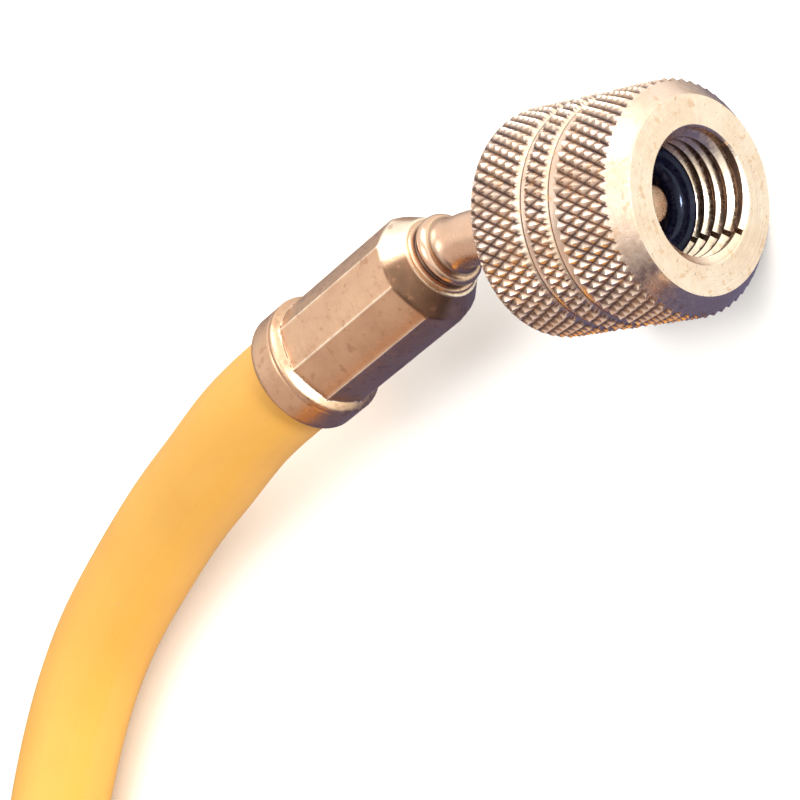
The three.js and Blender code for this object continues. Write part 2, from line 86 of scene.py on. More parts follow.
def filleted(corners: list[Triple], closed: bool = True, steps: int = 4) -> np.ndarray:
    """Rounds the corners of a section.

    A corner C is cut back by its fillet length along both edges, to A and B, and the cut is
    joined by P(t) = (1-t)^2 A + 2t(1-t) C + t^2 B.

    Args:
        corners: each corner's two coordinates and its fillet length.
        closed: whether the last corner joins the first.
        steps: points on a fillet, less one.

    Returns:
        The section's points, one row each.
    """
    at = np.array(corners, float)
    t = np.linspace(0.0, 1.0, steps + 1)[:, None]
    out = []
    for i, (x, y, cut) in enumerate(at):
        corner = np.array([x, y])
        if cut == 0.0 or (not closed and i in (0, len(at) - 1)):
            out.append(corner[None])
            continue
        before = at[i - 1, :2] - corner
        after = at[(i + 1) % len(at), :2] - corner
        a = corner + before / np.linalg.norm(before) * cut
        b = corner + after / np.linalg.norm(after) * cut
        out.append((1 - t) ** 2 * a + 2 * t * (1 - t) * corner + t**2 * b)
    return np.concatenate(out)


def eased(x: np.ndarray, low: float, high: float) -> np.ndarray:
    """A smooth step from 0 at low to 1 at high: 3u^2 - 2u^3."""
    u = np.clip((x - low) / (high - low), 0.0, 1.0)
    return u * u * (3.0 - 2.0 * u)


def rectangle(low: Pair, high: Pair, cut: float, steps: int = 4) -> np.ndarray:
    """A rectangle between two corners, with fillets of that length."""
    corners = (low, (high[0], low[1]), high, (low[0], high[1]))
    return filleted([(*corner, cut) for corner in corners], steps=steps)


def angles(count: int) -> np.ndarray:
    """Evenly spaced angles round a full turn, the first of them 0."""
    return np.arange(count) / count * FULL_TURN


def unit_circle(count: int) -> np.ndarray:
    """Points of a circle of radius 1, (sin a, cos a), one row each."""
    return np.stack([np.sin(angles(count)), np.cos(angles(count))], 1)


def about_axis(s: np.ndarray, r: np.ndarray, a: np.ndarray) -> np.ndarray:
    """Points behind a piece's origin, round its X axis: (-s, r sin a, r cos a)."""
    return np.stack(np.broadcast_arrays(-s, r * np.sin(a), r * np.cos(a)), -1)


def smooth_line(points: np.ndarray, step: float) -> np.ndarray:
    """A curve through points with no jump in its bend.

    Between two points it is a cubic in the chord length, and the second derivatives M solve
    h0 M0 + 2(h0 + h1) M1 + h1 M2 = 6 (slope1 - slope0), with none at the two ends.

    Args:
        points: the points that it passes through, one row each.
        step: distance between the points that it returns.

    Returns:
        The curve's points, about a step apart.
    """
    chord = np.linalg.norm(np.diff(points, axis=0), axis=1)
    t = np.concatenate([[0.0], np.cumsum(chord)])
    count = len(points)
    system = np.zeros((count, count))
    system[[0, -1], [0, -1]] = 1.0
    i = np.arange(1, count - 1)
    system[i, i - 1] = chord[:-1]
    system[i, i] = 2.0 * (chord[:-1] + chord[1:])
    system[i, i + 1] = chord[1:]
    slopes = np.diff(points, axis=0) / chord[:, None]
    right = np.zeros_like(points)
    right[1:-1] = 6.0 * np.diff(slopes, axis=0)
    bend = np.linalg.solve(system, right)
    s = np.linspace(0.0, t[-1], int(t[-1] / step) + 1)
    k = np.clip(np.searchsorted(t, s) - 1, 0, count - 2)
    u, h = (s - t[k])[:, None], chord[k][:, None]
    v = h - u
    ends = (points[k] / h - bend[k] * h / 6.0) * v + (points[k + 1] / h - bend[k + 1] * h / 6.0) * u
    return (bend[k] * v**3 + bend[k + 1] * u**3) / (6.0 * h) + ends


@dataclass(frozen=True)
class Axes:
    """A piece's own axes: X out of its mouth, Z up, with an origin in the row frame."""

    origin: Triple
    turn: float = 0.0
    drop: float = 0.0

    def directions(self) -> np.ndarray:
        """The directions of the axes, turned about Z after a drop of the back end about Y.

        Returns:
            The three unit vectors, as columns.
        """
        a, b = np.radians(self.turn), np.radians(self.drop)
        about_z = np.array([[np.cos(a), -np.sin(a), 0.0], [np.sin(a), np.cos(a), 0.0], [0.0, 0.0, 1.0]])
        about_y = np.array([[np.cos(b), 0.0, -np.sin(b)], [0.0, 1.0, 0.0], [np.sin(b), 0.0, np.cos(b)]])
        return about_z @ about_y

    def place(self, points: np.ndarray) -> np.ndarray:
        """Points given in these axes, in the row frame."""
        return points @ self.directions().T + np.array(self.origin)


@dataclass
class Grid:
    """A surface on rows, which run along it, and columns, which run round it.

    points[i, j] is the place of row i and column j, in millimetres. Rows or columns can close on
    themselves, and the first and last row can be closed with a flat cap. relief sets the painted
    light, from painted shade at 0, as in a pit, to a painted highlight at 1, as on a crest; along
    says how far along the surface each row is, and turn_diagonal says which cells are split the
    other way.
    """

    points: np.ndarray
    ring_rows: bool = False
    ring_columns: bool = True
    cap_ends: bool = False
    relief: np.ndarray | None = None
    along: np.ndarray | None = None
    turn_diagonal: np.ndarray | None = None

    def cells(self) -> tuple[np.ndarray, np.ndarray]:
        """Row and column of each cell's four corners, before either wraps round.

        Returns:
            The corners' rows, and their columns, each (cells, 4).
        """
        rows, columns = self.points.shape[:2]
        counts = rows - (not self.ring_rows), columns - (not self.ring_columns)
        i, j = (index.ravel() for index in np.indices(counts))
        return np.stack([i, i + 1, i + 1, i], 1), np.stack([j, j, j + 1, j + 1], 1)


class Shell:
    """Collects grids into one mesh, with a UV map and each point's relief, which sets its painted light."""

    def __init__(self) -> None:
        """Starts with nothing in it."""
        self.points: list[np.ndarray] = []
        self.relief: list[np.ndarray] = []
        self.corners: list[np.ndarray] = []
        self.sizes: list[np.ndarray] = []
        self.uv: list[np.ndarray] = []
        self.count = 0

    def _add_faces(self, index: np.ndarray, uv: np.ndarray) -> None:
        """Adds faces of equal size.

        Args:
            index: the faces' corners, counted from the grid's first point, (faces, corners).
            uv: the corners' places on the UV map, (faces, corners, 2).
        """
        self.corners.append((index + self.count).ravel())
        self.sizes.append(np.full(len(index), index.shape[1]))
        self.uv.append(uv.reshape(-1, 2))

    def add(self, grid: Grid) -> "Shell":
        """Adds a grid's surface.

        Args:
            grid: the surface, in millimetres.

        Returns:
            This shell, so that calls can follow one another.
        """
        rows, columns = grid.points.shape[:2]
        i, j = grid.cells()
        index = (i % rows) * columns + (j % columns)
        along = np.linspace(0.0, 1.0, rows + grid.ring_rows) if grid.along is None else grid.along
        uv = np.stack([j / columns, along[np.minimum(i, len(along) - 1)]], -1)
        if grid.turn_diagonal is None:
            self._add_faces(index, uv)
        else:
            other = grid.turn_diagonal.ravel()
            for chosen, first, second in ((~other, [0, 1, 2], [0, 2, 3]), (other, [1, 2, 3], [1, 3, 0])):
                for corner in (first, second):
                    self._add_faces(index[chosen][:, corner], uv[chosen][:, corner])
        if grid.cap_ends:
            for row in (0, rows - 1):
                ring = row * columns + np.arange(columns)[None]
                self._add_faces(ring, np.full((1, columns, 2), 0.5))
        self.points.append(grid.points.reshape(-1, 3))
        relief = BARE_RELIEF if grid.relief is None else grid.relief
        self.relief.append(np.broadcast_to(relief, (rows, columns)).ravel())
        self.count += rows * columns
        return self

    def to_piece(self, name: str, crease: float = 35.0) -> bpy.types.Object:
        """Makes a piece of it.

        Args:
            name: the piece's name.
            crease: angle in degrees from which an edge is shaded as sharp.

        Returns:
            The piece, at the origin with its place in its mesh.
        """
        mesh = bpy.data.meshes.new(name)
        points, uv = np.concatenate(self.points) * MM, np.concatenate(self.uv)
        corners, sizes = np.concatenate(self.corners), np.concatenate(self.sizes)
        mesh.vertices.add(len(points))
        mesh.vertices.foreach_set("co", points.astype(np.float32).ravel())
        mesh.loops.add(len(corners))
        mesh.loops.foreach_set("vertex_index", corners.astype(np.int32))
        mesh.polygons.add(len(sizes))
        mesh.polygons.foreach_set("loop_start", (np.cumsum(sizes) - sizes).astype(np.int32))
        mesh.uv_layers.new(name="surface").data.foreach_set("uv", uv.astype(np.float32).ravel())
        relief = mesh.attributes.new("relief", "FLOAT", "POINT")
        relief.data.foreach_set("value", np.concatenate(self.relief).astype(np.float32))
        mesh.update(calc_edges=True)
        mesh.validate()
        shape = bmesh.new()
        shape.from_mesh(mesh)
        bmesh.ops.recalc_face_normals(shape, faces=shape.faces)
        shape.to_mesh(mesh)
        shape.free()
        mesh.shade_smooth()
        mesh.set_sharp_from_angle(angle=np.radians(crease))
        piece = bpy.data.objects.new(name, mesh)
        bpy.context.scene.collection.objects.link(piece)
        LOG.info("%s: %d triangles", name, int((sizes - 2).sum()))
        return piece


def turned(axes: Axes, section: np.ndarray, sides: int = 96, closed: bool = True) -> Grid:
    """A surface turned about a piece's X axis.

    The point of station s, radius r and angle a lies at (-s, r sin a, r cos a).

    Args:
        axes: the piece's axes.
        section: stations behind the origin and radii, one row each.
        sides: columns round the axis.
        closed: whether the section's last point joins its first.

    Returns:
        The surface.
    """
    local = about_axis(section[:, :1], section[:, 1:], angles(sides))
    return Grid(axes.place(local), ring_rows=closed, along=stretch(section, closed))


def stretch(section: np.ndarray, closed: bool) -> np.ndarray:
    """How far round a section each of its points is, as a share of its length.

    Args:
        section: the section's points, one row each.
        closed: whether the last point joins the first, which is then counted again at the end.

    Returns:
        A share from 0 to 1 for each point.
    """
    line = np.vstack([section, section[:1]]) if closed else section
    at = np.concatenate([[0.0], np.cumsum(np.linalg.norm(np.diff(line, axis=0), axis=1))])
    return at / at[-1]


def swept(centres: np.ndarray, outline: np.ndarray, across: np.ndarray, up: np.ndarray) -> np.ndarray:
    """Points of an outline carried along a line: centre + x times across + y times up.

    Args:
        centres: the line's points, one row each.
        outline: the outline's x and y, (points, 2) or one outline for each row of centres.
        across: unit vectors of the outline's x, one row each.
        up: unit vectors of the outline's y, one row each.

    Returns:
        Points, (rows, outline points, 3).
    """
    flat = np.broadcast_to(outline, (len(centres), outline.shape[-2], 2))
    return centres[:, None] + flat[..., :1] * across[:, None] + flat[..., 1:] * up[:, None]


def directions_of(line: np.ndarray) -> tuple[np.ndarray, np.ndarray]:
    """Two directions at right angles to a line: Z x ahead, which is level, and ahead x that.

    Args:
        line: the line's points, one row each.

    Returns:
        The unit vectors across the line and up from it, one row each.
    """
    ahead = np.gradient(line, axis=0)
    ahead /= np.linalg.norm(ahead, axis=1, keepdims=True)
    across = np.cross(np.array([0.0, 0.0, 1.0]), ahead)
    across /= np.linalg.norm(across, axis=1, keepdims=True)
    return across, np.cross(ahead, across)


# Finishes


class NodeSheet:
    """Lays out the nodes of one material, or of the world."""

    def __init__(self, owner: bpy.types.Material | bpy.types.World) -> None:
        """Takes a new material or world, with the nodes that it starts with."""
        owner.use_nodes = True
        self.owner, self.tree = owner, owner.node_tree

    @classmethod
    def material(cls, name: str) -> "NodeSheet":
        """Starts a material, which has a Principled shader on its output."""
        return cls(bpy.data.materials.new(name))

    def add(self, kind: str, links: dict | None = None, **settings: str) -> bpy.types.Node:
        """Adds a node.

        Args:
            kind: the node's type without its ShaderNode prefix.
            links: for each input, by name or number, a number, colour or output to join to it.
            **settings: the node's own properties.

        Returns:
            The node.
        """
        node = self.tree.nodes.new("ShaderNode" + kind)
        for key, value in settings.items():
            setattr(node, key, value)
        for key, value in (links or {}).items():
            self.join(node.inputs[key], value)
        return node

    def join(self, socket: Socket, value: Socket | float | Triple | Colour) -> None:
        """Joins an output to a socket, or sets the socket to a plain value.

        Args:
            socket: the input.
            value: the output, number, direction or colour that it gets.
        """
        if isinstance(value, bpy.types.NodeSocket):
            self.tree.links.new(value, socket)
        else:
            socket.default_value = value

    def scaled(self, node: bpy.types.Node, output: str, scale: Triple) -> Socket:
        """A node's coordinates, scaled along each axis."""
        return self.add("Mapping", {"Vector": node.outputs[output], "Scale": scale}).outputs["Vector"]

    def surface(self, around: float, along: float) -> Socket:
        """The piece's UV map, with that many repeats round it and along it."""
        return self.scaled(self.add("UVMap", uv_map="surface"), "UV", (around, along, 1.0))

    def noise(self, vector: Socket, detail: float, rough: float) -> Socket:
        """A noise value from 0 to 1."""
        links = {"Vector": vector, "Scale": 1.0, "Detail": detail, "Roughness": rough}
        return self.add("TexNoise", links).outputs["Fac"]

    def patches(self, size: float, detail: float = 3.0, rough: float = 0.6) -> Socket:
        """A noise value in the piece's own space, with patches of about that many millimetres."""
        place = self.scaled(self.add("TexCoord"), "Object", (1.0 / (size * MM),) * 3)
        return self.noise(place, detail, rough)

    def ramp(self, value: Socket, span: Pair, to: Pair = (0.0, 1.0)) -> Socket:
        """Maps a value from one range to another, eased at both ends.

        Args:
            value: the value.
            span: the two ends of the range that it comes from.
            to: what the two ends become.

        Returns:
            The mapped value.
        """
        links = {"Value": value, "From Min": span[0], "From Max": span[1], "To Min": to[0], "To Max": to[1]}
        return self.add("MapRange", links, interpolation_type="SMOOTHSTEP").outputs["Result"]

    def mix(self, share: Socket, first: Socket | Colour, second: Socket | Colour) -> Socket:
        """A colour between two others, at that share of the way: inputs 0, 6 and 7 of the node."""
        return self.add("Mix", {0: share, 6: first, 7: second}, data_type="RGBA").outputs[2]

    def plus(self, first: Socket, second: Socket | float) -> Socket:
        """The sum of two values."""
        return self.add("Math", {0: first, 1: second}, operation="ADD").outputs[0]

    def bump(self, height: Socket, depth: float, onto: Socket | None = None) -> Socket:
        """A bumped normal.

        Args:
            height: the height, from 0 to 1.
            depth: how deep that is, in millimetres.
            onto: a normal that is bumped already.

        Returns:
            The normal.
        """
        links = {"Height": height, "Strength": 1.0, "Distance": depth * MM}
        if onto is not None:
            links["Normal"] = onto
        return self.add("Bump", links).outputs["Normal"]

    def finish(self, **inputs: Socket | float | Triple | Colour) -> bpy.types.Material:
        """Completes a material.

        Args:
            **inputs: values for the shader's inputs, whose names are given with _ for a space.

        Returns:
            The material.
        """
        shader = self.tree.nodes["Principled BSDF"]
        for key, value in inputs.items():
            self.join(shader.inputs[key.replace("_", " ")], value)
        return self.owner


@dataclass(frozen=True)
class Brass:
    """Turned or pressed brass, with painted shade in its pits, painted highlights on its crests, stains and
    tool marks.
    """

    name: str
    base: Colour
    # pit is a painted shade colour for hollows, and crest is a painted highlight colour for tips and edges.
    pit: Colour
    crest: Colour
    stain: Colour
    roughness: float
    stain_amount: float
    tool_marks: float
    mark_repeats: float
    dent_depth: float = 0.010

    def build(self) -> bpy.types.Material:
        """Makes the material.

        Returns:
            The material.
        """
        sheet = NodeSheet.material(self.name)
        relief = sheet.add("Attribute", attribute_name="relief").outputs["Fac"]
        # Painted shade where the relief is low, and a painted highlight where it is high.
        colour = sheet.mix(sheet.ramp(relief, (0.05, 0.68)), self.pit, self.base)
        colour = sheet.mix(sheet.ramp(relief, (0.72, 1.0)), colour, self.crest)
        clouds = sheet.ramp(sheet.patches(3.2, detail=4.0), (0.35, 0.75), (0.0, 0.35))
        colour = sheet.mix(clouds, colour, self.stain)
        spots = sheet.ramp(sheet.patches(0.9, rough=0.55), (0.59, 0.68), (0.0, self.stain_amount))
        colour = sheet.mix(spots, colour, self.stain)
        wear = sheet.ramp(sheet.patches(0.5), (0.3, 0.7), (-0.06, 0.08))
        rough = sheet.plus(sheet.plus(wear, self.roughness), sheet.ramp(relief, (0.0, 0.6), (0.18, 0.0)))
        rings = sheet.noise(sheet.surface(3.0, self.mark_repeats), 2.0, 0.6)
        dents = sheet.ramp(sheet.patches(0.35, detail=2.0, rough=0.5), (0.22, 0.36))
        normal = sheet.bump(dents, self.dent_depth, sheet.bump(rings, self.tool_marks))
        return sheet.finish(Base_Color=colour, Roughness=rough, Normal=normal, Metallic=1.0)


@dataclass(frozen=True)
class HoseRubber:
    """Smooth extruded rubber with faint streaks along it and a slightly uneven colour."""

    name: str = "yellow_hose_rubber"
    light: Colour = (0.62, 0.33, 0.062, 1.0)
    deep: Colour = (0.58, 0.285, 0.045, 1.0)
    scuff: Colour = (0.48, 0.26, 0.085, 1.0)
    streaks: Pair = (26.0, 18.0)
    skin_depth: float = 0.02
    streak_depth: float = 0.05

    def build(self) -> bpy.types.Material:
        """Makes the material.

        Returns:
            The material.
        """
        sheet = NodeSheet.material(self.name)
        clouds = sheet.ramp(sheet.patches(14.0, rough=0.5), (0.3, 0.7), (0.0, 0.6))
        colour = sheet.mix(clouds, self.light, self.deep)
        streak = sheet.noise(sheet.surface(*self.streaks), 3.0, 0.6)
        colour = sheet.mix(sheet.ramp(streak, (0.4, 0.8), (0.0, 0.3)), colour, self.deep)
        specks = sheet.ramp(sheet.patches(1.1, detail=4.0), (0.66, 0.78), (0.0, 0.5))
        colour = sheet.mix(specks, colour, self.scuff)
        rough = sheet.ramp(sheet.patches(4.0), (0.3, 0.7), (0.36, 0.5))
        skin = sheet.bump(sheet.patches(0.7, rough=0.55), self.skin_depth)
        normal = sheet.bump(streak, self.streak_depth, skin)
        return sheet.finish(Base_Color=colour, Roughness=rough, Normal=normal)


@dataclass(frozen=True)
class SealRubber:
    """Black moulded rubber with a soft sheen."""

    name: str = "black_seal_rubber"
    deep: Colour = (0.002, 0.002, 0.006, 1.0)
    light: Colour = (0.006, 0.006, 0.014, 1.0)
    sheen: Colour = (0.62, 0.72, 1.0, 1.0)
    sheen_level: float = 0.3
    grain_depth: float = 0.004

    def build(self) -> bpy.types.Material:
        """Makes the material.

        Returns:
            The material.
        """
        sheet = NodeSheet.material(self.name)
        grain = sheet.patches(0.4)
        colour = sheet.mix(sheet.ramp(grain, (0.4, 0.7)), self.deep, self.light)
        rough = sheet.ramp(grain, (0.3, 0.7), (0.12, 0.18))
        normal = sheet.bump(grain, self.grain_depth)
        return sheet.finish(
            Base_Color=colour, Roughness=rough, Normal=normal,
            Specular_IOR_Level=self.sheen_level, Specular_Tint=self.sheen,
        )


@dataclass(frozen=True)
class TieNylon:
    """Black moulded nylon, a little dusty and uneven."""

    name: str = "black_tie_nylon"
    clean: Colour = (0.012, 0.012, 0.013, 1.0)
    dusty: Colour = (0.035, 0.034, 0.033, 1.0)
    grain_depth: float = 0.03

    def build(self) -> bpy.types.Material:
        """Makes the material.

        Returns:
            The material.
        """
        sheet = NodeSheet.material(self.name)
        dust = sheet.patches(1.6, detail=4.0)
        colour = sheet.mix(sheet.ramp(dust, (0.45, 0.75)), self.clean, self.dusty)
        rough = sheet.ramp(dust, (0.3, 0.7), (0.38, 0.55))
        return sheet.finish(Base_Color=colour, Roughness=rough, Normal=sheet.bump(dust, self.grain_depth))


@dataclass(frozen=True)
class FloorFinish:
    """A pale, plain, matt floor."""

    name: str = "pale_floor"
    first: Colour = (0.90, 0.90, 0.90, 1.0)
    second: Colour = (0.93, 0.93, 0.925, 1.0)
    roughness: float = 0.7

    def build(self) -> bpy.types.Material:
        """Makes the material.

        Returns:
            The material.
        """
        sheet = NodeSheet.material(self.name)
        colour = sheet.mix(sheet.patches(400.0, detail=2.0, rough=0.5), self.first, self.second)
        return sheet.finish(Base_Color=colour, Roughness=self.roughness)


@dataclass(frozen=True)
class Finishes:
    """Every finish of the part, made once."""

    nut: bpy.types.Material
    stem: bpy.types.Material
    ferrule: bpy.types.Material
    hose: bpy.types.Material
    seal: bpy.types.Material
    tie: bpy.types.Material

    @classmethod
    def build(cls) -> "Finishes":
        """Makes all the materials.

        Returns:
            The finishes.
        """
        # In each brass, pit is a painted shade colour and crest is a painted highlight colour.
        nut = Brass(
            "knurled_nut_brass", base=(0.84, 0.66, 0.54, 1.0), pit=(0.10, 0.062, 0.058, 1.0),
            crest=(1.0, 0.90, 0.76, 1.0), stain=(0.62, 0.36, 0.20, 1.0),
            roughness=0.24, stain_amount=0.5, tool_marks=0.010, mark_repeats=240.0,
        )
        stem = Brass(
            "turned_stem_brass", base=(0.70, 0.47, 0.34, 1.0), pit=(0.14, 0.09, 0.08, 1.0),
            crest=(0.98, 0.86, 0.70, 1.0), stain=(0.60, 0.36, 0.22, 1.0),
            roughness=0.27, stain_amount=0.2, tool_marks=0.008, mark_repeats=200.0,
        )
        ferrule = Brass(
            "pressed_ferrule_brass", base=(0.67, 0.43, 0.28, 1.0), pit=(0.14, 0.08, 0.05, 1.0),
            crest=(1.0, 0.88, 0.70, 1.0), stain=(0.42, 0.21, 0.13, 1.0),
            roughness=0.33, stain_amount=0.5, tool_marks=0.008, mark_repeats=60.0,
        )
        parts = (nut, stem, ferrule, HoseRubber(), SealRubber(), TieNylon())
        return cls(*(part.build() for part in parts))


def dress(
    piece: bpy.types.Object, material: bpy.types.Material, slot: Slot, body: Body, *nodes: str
) -> bpy.types.Object:
    """Gives a piece its finish, and says what it rides on and which solids it stands for.

    Args:
        piece: the piece.
        material: its finish.
        slot: the part's material slot that the finish belongs to; not used.
        body: the body that carries it.
        *nodes: the CAD nodes that it replaces.

    Returns:
        The piece.
    """
    piece.data.materials.append(material)
    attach(piece, body.value)
    if nodes:
        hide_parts(*nodes)
    return piece


# Swivel nut


@dataclass(frozen=True)
class SwivelNut:
    """A knurled nut with two turned grooves, a bevel, and a threaded mouth with a vent slot."""

    radius: float = 9.85
    length: float = 16.9
    face_radius: float = 8.27
    bevel: float = 1.80
    bands: tuple[tuple[float, float], ...] = ((1.80, 6.98), (8.56, 10.51), (11.78, 16.5))
    groove_depth: float = 0.58
    starts: int = 60
    pitch: float = 2.05
    knurl_depth: float = 0.36
    columns: int = 480
    root_radius: float = 5.56
    crest_radius: float = 4.94
    thread_pitch: float = 1.27
    thread_length: float = 6.6
    chamfer_radius: float = 5.68
    chamfer_slope: float = 0.987
    slot_angle: float = -148.8
    slot_width: float = 0.55
    slot_radius: float = 5.85
    slot_front: float = 0.42
    bore_radius: float = 3.4
    chamber_radius: float = 5.7
    chamber_back: float = 10.8
    fainter_set: float = 0.14
    rows_per_pitch: int = 8
    thread_start: float = -0.55
    thread_front: float = 0.28
    thread_fade: Pair = (1.0, 0.35)
    thread_foot: float = 0.50
    flank: float = np.pi / 6.0
    crest_bevel: float = 0.05
    # Relief levels: plain on the turned surfaces, a little higher where the knurl's points are cut flat, and
    # painted shade on the grooves' floors.
    plain_relief: float = 0.66
    cut_relief: float = 0.8
    groove_shade: float = 0.12

    # Behind a band's end and above the groove's floor, then ahead of the next band and above the
    # floor, and last ahead of the nut's back and below its radius.
    GROOVE_FRONT = ((0.04, 0.12), (0.12, 0.03), (0.22, 0.0))
    GROOVE_BACK = ((0.56, 0.02), (0.50, -0.04), (0.40, -0.05), (0.33, 0.02))
    BACK_EDGE = ((0.3, 0.03), (0.05, 0.27), (0.0, 0.36))

    # Stations of the thread root's rings near the mouth, and radii of the face's rings.
    ROOT_RINGS = (0.45, 0.4, 0.12)
    FACE_RINGS = (6.6, 7.6)

    # Painted light across the thread's ridge, from its front foot to its back foot: a painted highlight on
    # the front flank, and painted shade over the crest and back flank.
    THREAD_SHADING = (0.5, 0.85, 0.3, 0.2, 0.1, 0.0)

    def _ridge(self, s: np.ndarray, a: np.ndarray) -> np.ndarray:
        """Height of the knurl, 0 in a groove and 1 on a point.

        Two sets of helical V grooves cross. Each is 1 - |2 f - 1|, where f is the fraction left of
        starts * a / 2 pi plus or minus s / pitch, and the lower of the two is the height.

        Args:
            s: stations behind the nut's face.
            a: angles round its axis.

        Returns:
            The height at each of them.
        """
        turn, run = self.starts * a / FULL_TURN, (s - self.bevel) / self.pitch
        first = 1.0 - np.abs(2.0 * ((turn - run) % 1.0) - 1.0)
        second = 1.0 - np.abs(2.0 * ((turn + run) % 1.0) - 1.0)
        return np.minimum(first, self.fainter_set + (1.0 - self.fainter_set) * second)

    def _outside_rows(self) -> np.ndarray:
        """The outside, from the face's edge to the back's edge, with rows that fit the knurl's pitch.

        Returns:
            Stations and radii, one row each.
        """
        step, r, floor = self.pitch / self.rows_per_pitch, self.radius, self.radius - self.groove_depth
        edge, clear = 0.05, 0.04
        slope = (r - self.face_radius) / (self.bevel - edge)
        bevel = np.arange(self.bevel - 5 * step, self.bevel - 0.01, step / 2.0)
        rows = [(0.0, self.face_radius - 0.06), (edge, self.face_radius)]
        rows += [(s, self.face_radius + (s - edge) * slope) for s in bevel]
        lattice = self.bevel + step * np.arange(int(self.length / step))
        for n, (front, back) in enumerate(self.bands):
            on_band = lattice[(lattice > front + clear) & (lattice < back - clear)]
            rows += [(front, r), *((s, r) for s in on_band), (back, r)]
            if n < len(self.bands) - 1:
                wall = self.bands[n + 1][0]
                rows += [(back + behind, floor + above) for behind, above in self.GROOVE_FRONT]
                rows += [(wall - ahead, floor + above) for ahead, above in self.GROOVE_BACK]
                rows.append((wall - 0.03, r - 0.08))
        return np.array(rows + [(self.length - ahead, r - below) for ahead, below in self.BACK_EDGE])

    def _inside_rows(self) -> np.ndarray:
        """The back, the bore, the chamber, the thread's root, the mouth's edge and the face.

        Returns:
            Stations and radii, one row each.
        """
        back, root, chamber, front = self.length, self.root_radius, self.chamber_radius, self.thread_length
        return filleted([
            (back, self.radius - 1.0, 0.0), (back, self.bore_radius, 0.15),
            (self.chamber_back, self.bore_radius, 0.0), (self.chamber_back, chamber, 0.0),
            (front, chamber, 0.0), (front, root, 0.0), (front - 0.02, root, 0.0),
            *((s, root, 0.0) for s in self.ROOT_RINGS), (0.03, self.chamfer_radius, 0.0),
            (0.0, self.chamfer_radius + 0.05, 0.0), *((0.0, r, 0.0) for r in self.FACE_RINGS),
        ], closed=False, steps=3)

    def _radius_at(self, s: np.ndarray, limit: np.ndarray, a: np.ndarray, outside: np.ndarray) -> np.ndarray:
        """The surface's radius: the lower of limit and knurl outside, and limit or the slot inside.

        Args:
            s: stations.
            limit: the plain radius at each station.
            a: angles.
            outside: whether a row is outside.

        Returns:
            The radius at each station and angle.
        """
        knurl = self.radius - self.knurl_depth * (1.0 - self._ridge(s, a))
        off = (a - np.radians(self.slot_angle) + np.pi) % FULL_TURN - np.pi
        in_slot = (np.abs(off) * self.root_radius < self.slot_width / 2.0) & (s > self.slot_front)
        inside = np.where(in_slot & (s < self.thread_length), self.slot_radius, limit)
        return np.where(outside, np.minimum(limit, knurl), inside)

    def _columns_at(self) -> tuple[np.ndarray, np.ndarray]:
        """Angles of the columns outside, and inside, where four of them move to the slot's edges.

        Returns:
            The angles outside, and the angles inside.
        """
        a = angles(self.columns)
        inner = a.copy()
        half_slot = self.slot_width / 2.0 / self.root_radius
        for side in (-half_slot, half_slot):
            edge = (np.radians(self.slot_angle) + side) % FULL_TURN
            k = int(edge / FULL_TURN * self.columns)
            inner[k], inner[(k + 1) % self.columns] = edge - 1e-3, edge + 1e-3
        return a, inner

    def body(self, axes: Axes) -> Grid:
        """The nut without its thread, as one closed surface turned about its axis.

        A cell is split along the diagonal whose middle lies nearer to the knurl's true radius.

        Args:
            axes: X out of its mouth, with the origin at its face's centre.

        Returns:
            The surface.
        """
        outer, inner = self._outside_rows(), self._inside_rows()
        rows = np.vstack([outer, inner])
        outside = (np.arange(len(rows)) < len(outer))[:, None]
        a = np.where(outside, *self._columns_at())
        s, limit = rows[:, :1], rows[:, 1:]
        r = self._radius_at(s, limit, a, outside)
        following = np.roll(np.arange(len(rows)), -1)
        mid_s, mid_limit = (s + s[following]) / 2.0, (limit + limit[following]) / 2.0
        mid = self._radius_at(mid_s, mid_limit, a + np.pi / self.columns, outside & outside[following])
        ahead = np.roll(r, -1, axis=1)
        one, other = (r + ahead[following]) / 2.0, (r[following] + ahead) / 2.0
        # The knurl's height sets its painted light: painted shade in its pits and a painted highlight on its
        # points.
        knurled = (r < limit - 1e-6) | (limit > self.radius - 0.01)
        height = np.where(knurled, self._ridge(s, a), self.cut_relief)
        relief = np.where(outside & (limit > self.radius - self.knurl_depth), height, self.plain_relief)
        # The grooves' floors get painted shade.
        in_groove = outside & (limit < self.radius - self.groove_depth - 0.015) & (s > self.bevel)
        return Grid(
            axes.place(about_axis(s, r, a)), ring_rows=True, along=stretch(rows, True),
            relief=np.where(in_groove, self.groove_shade, relief),
            turn_diagonal=np.abs(other - mid) < np.abs(one - mid),
        )

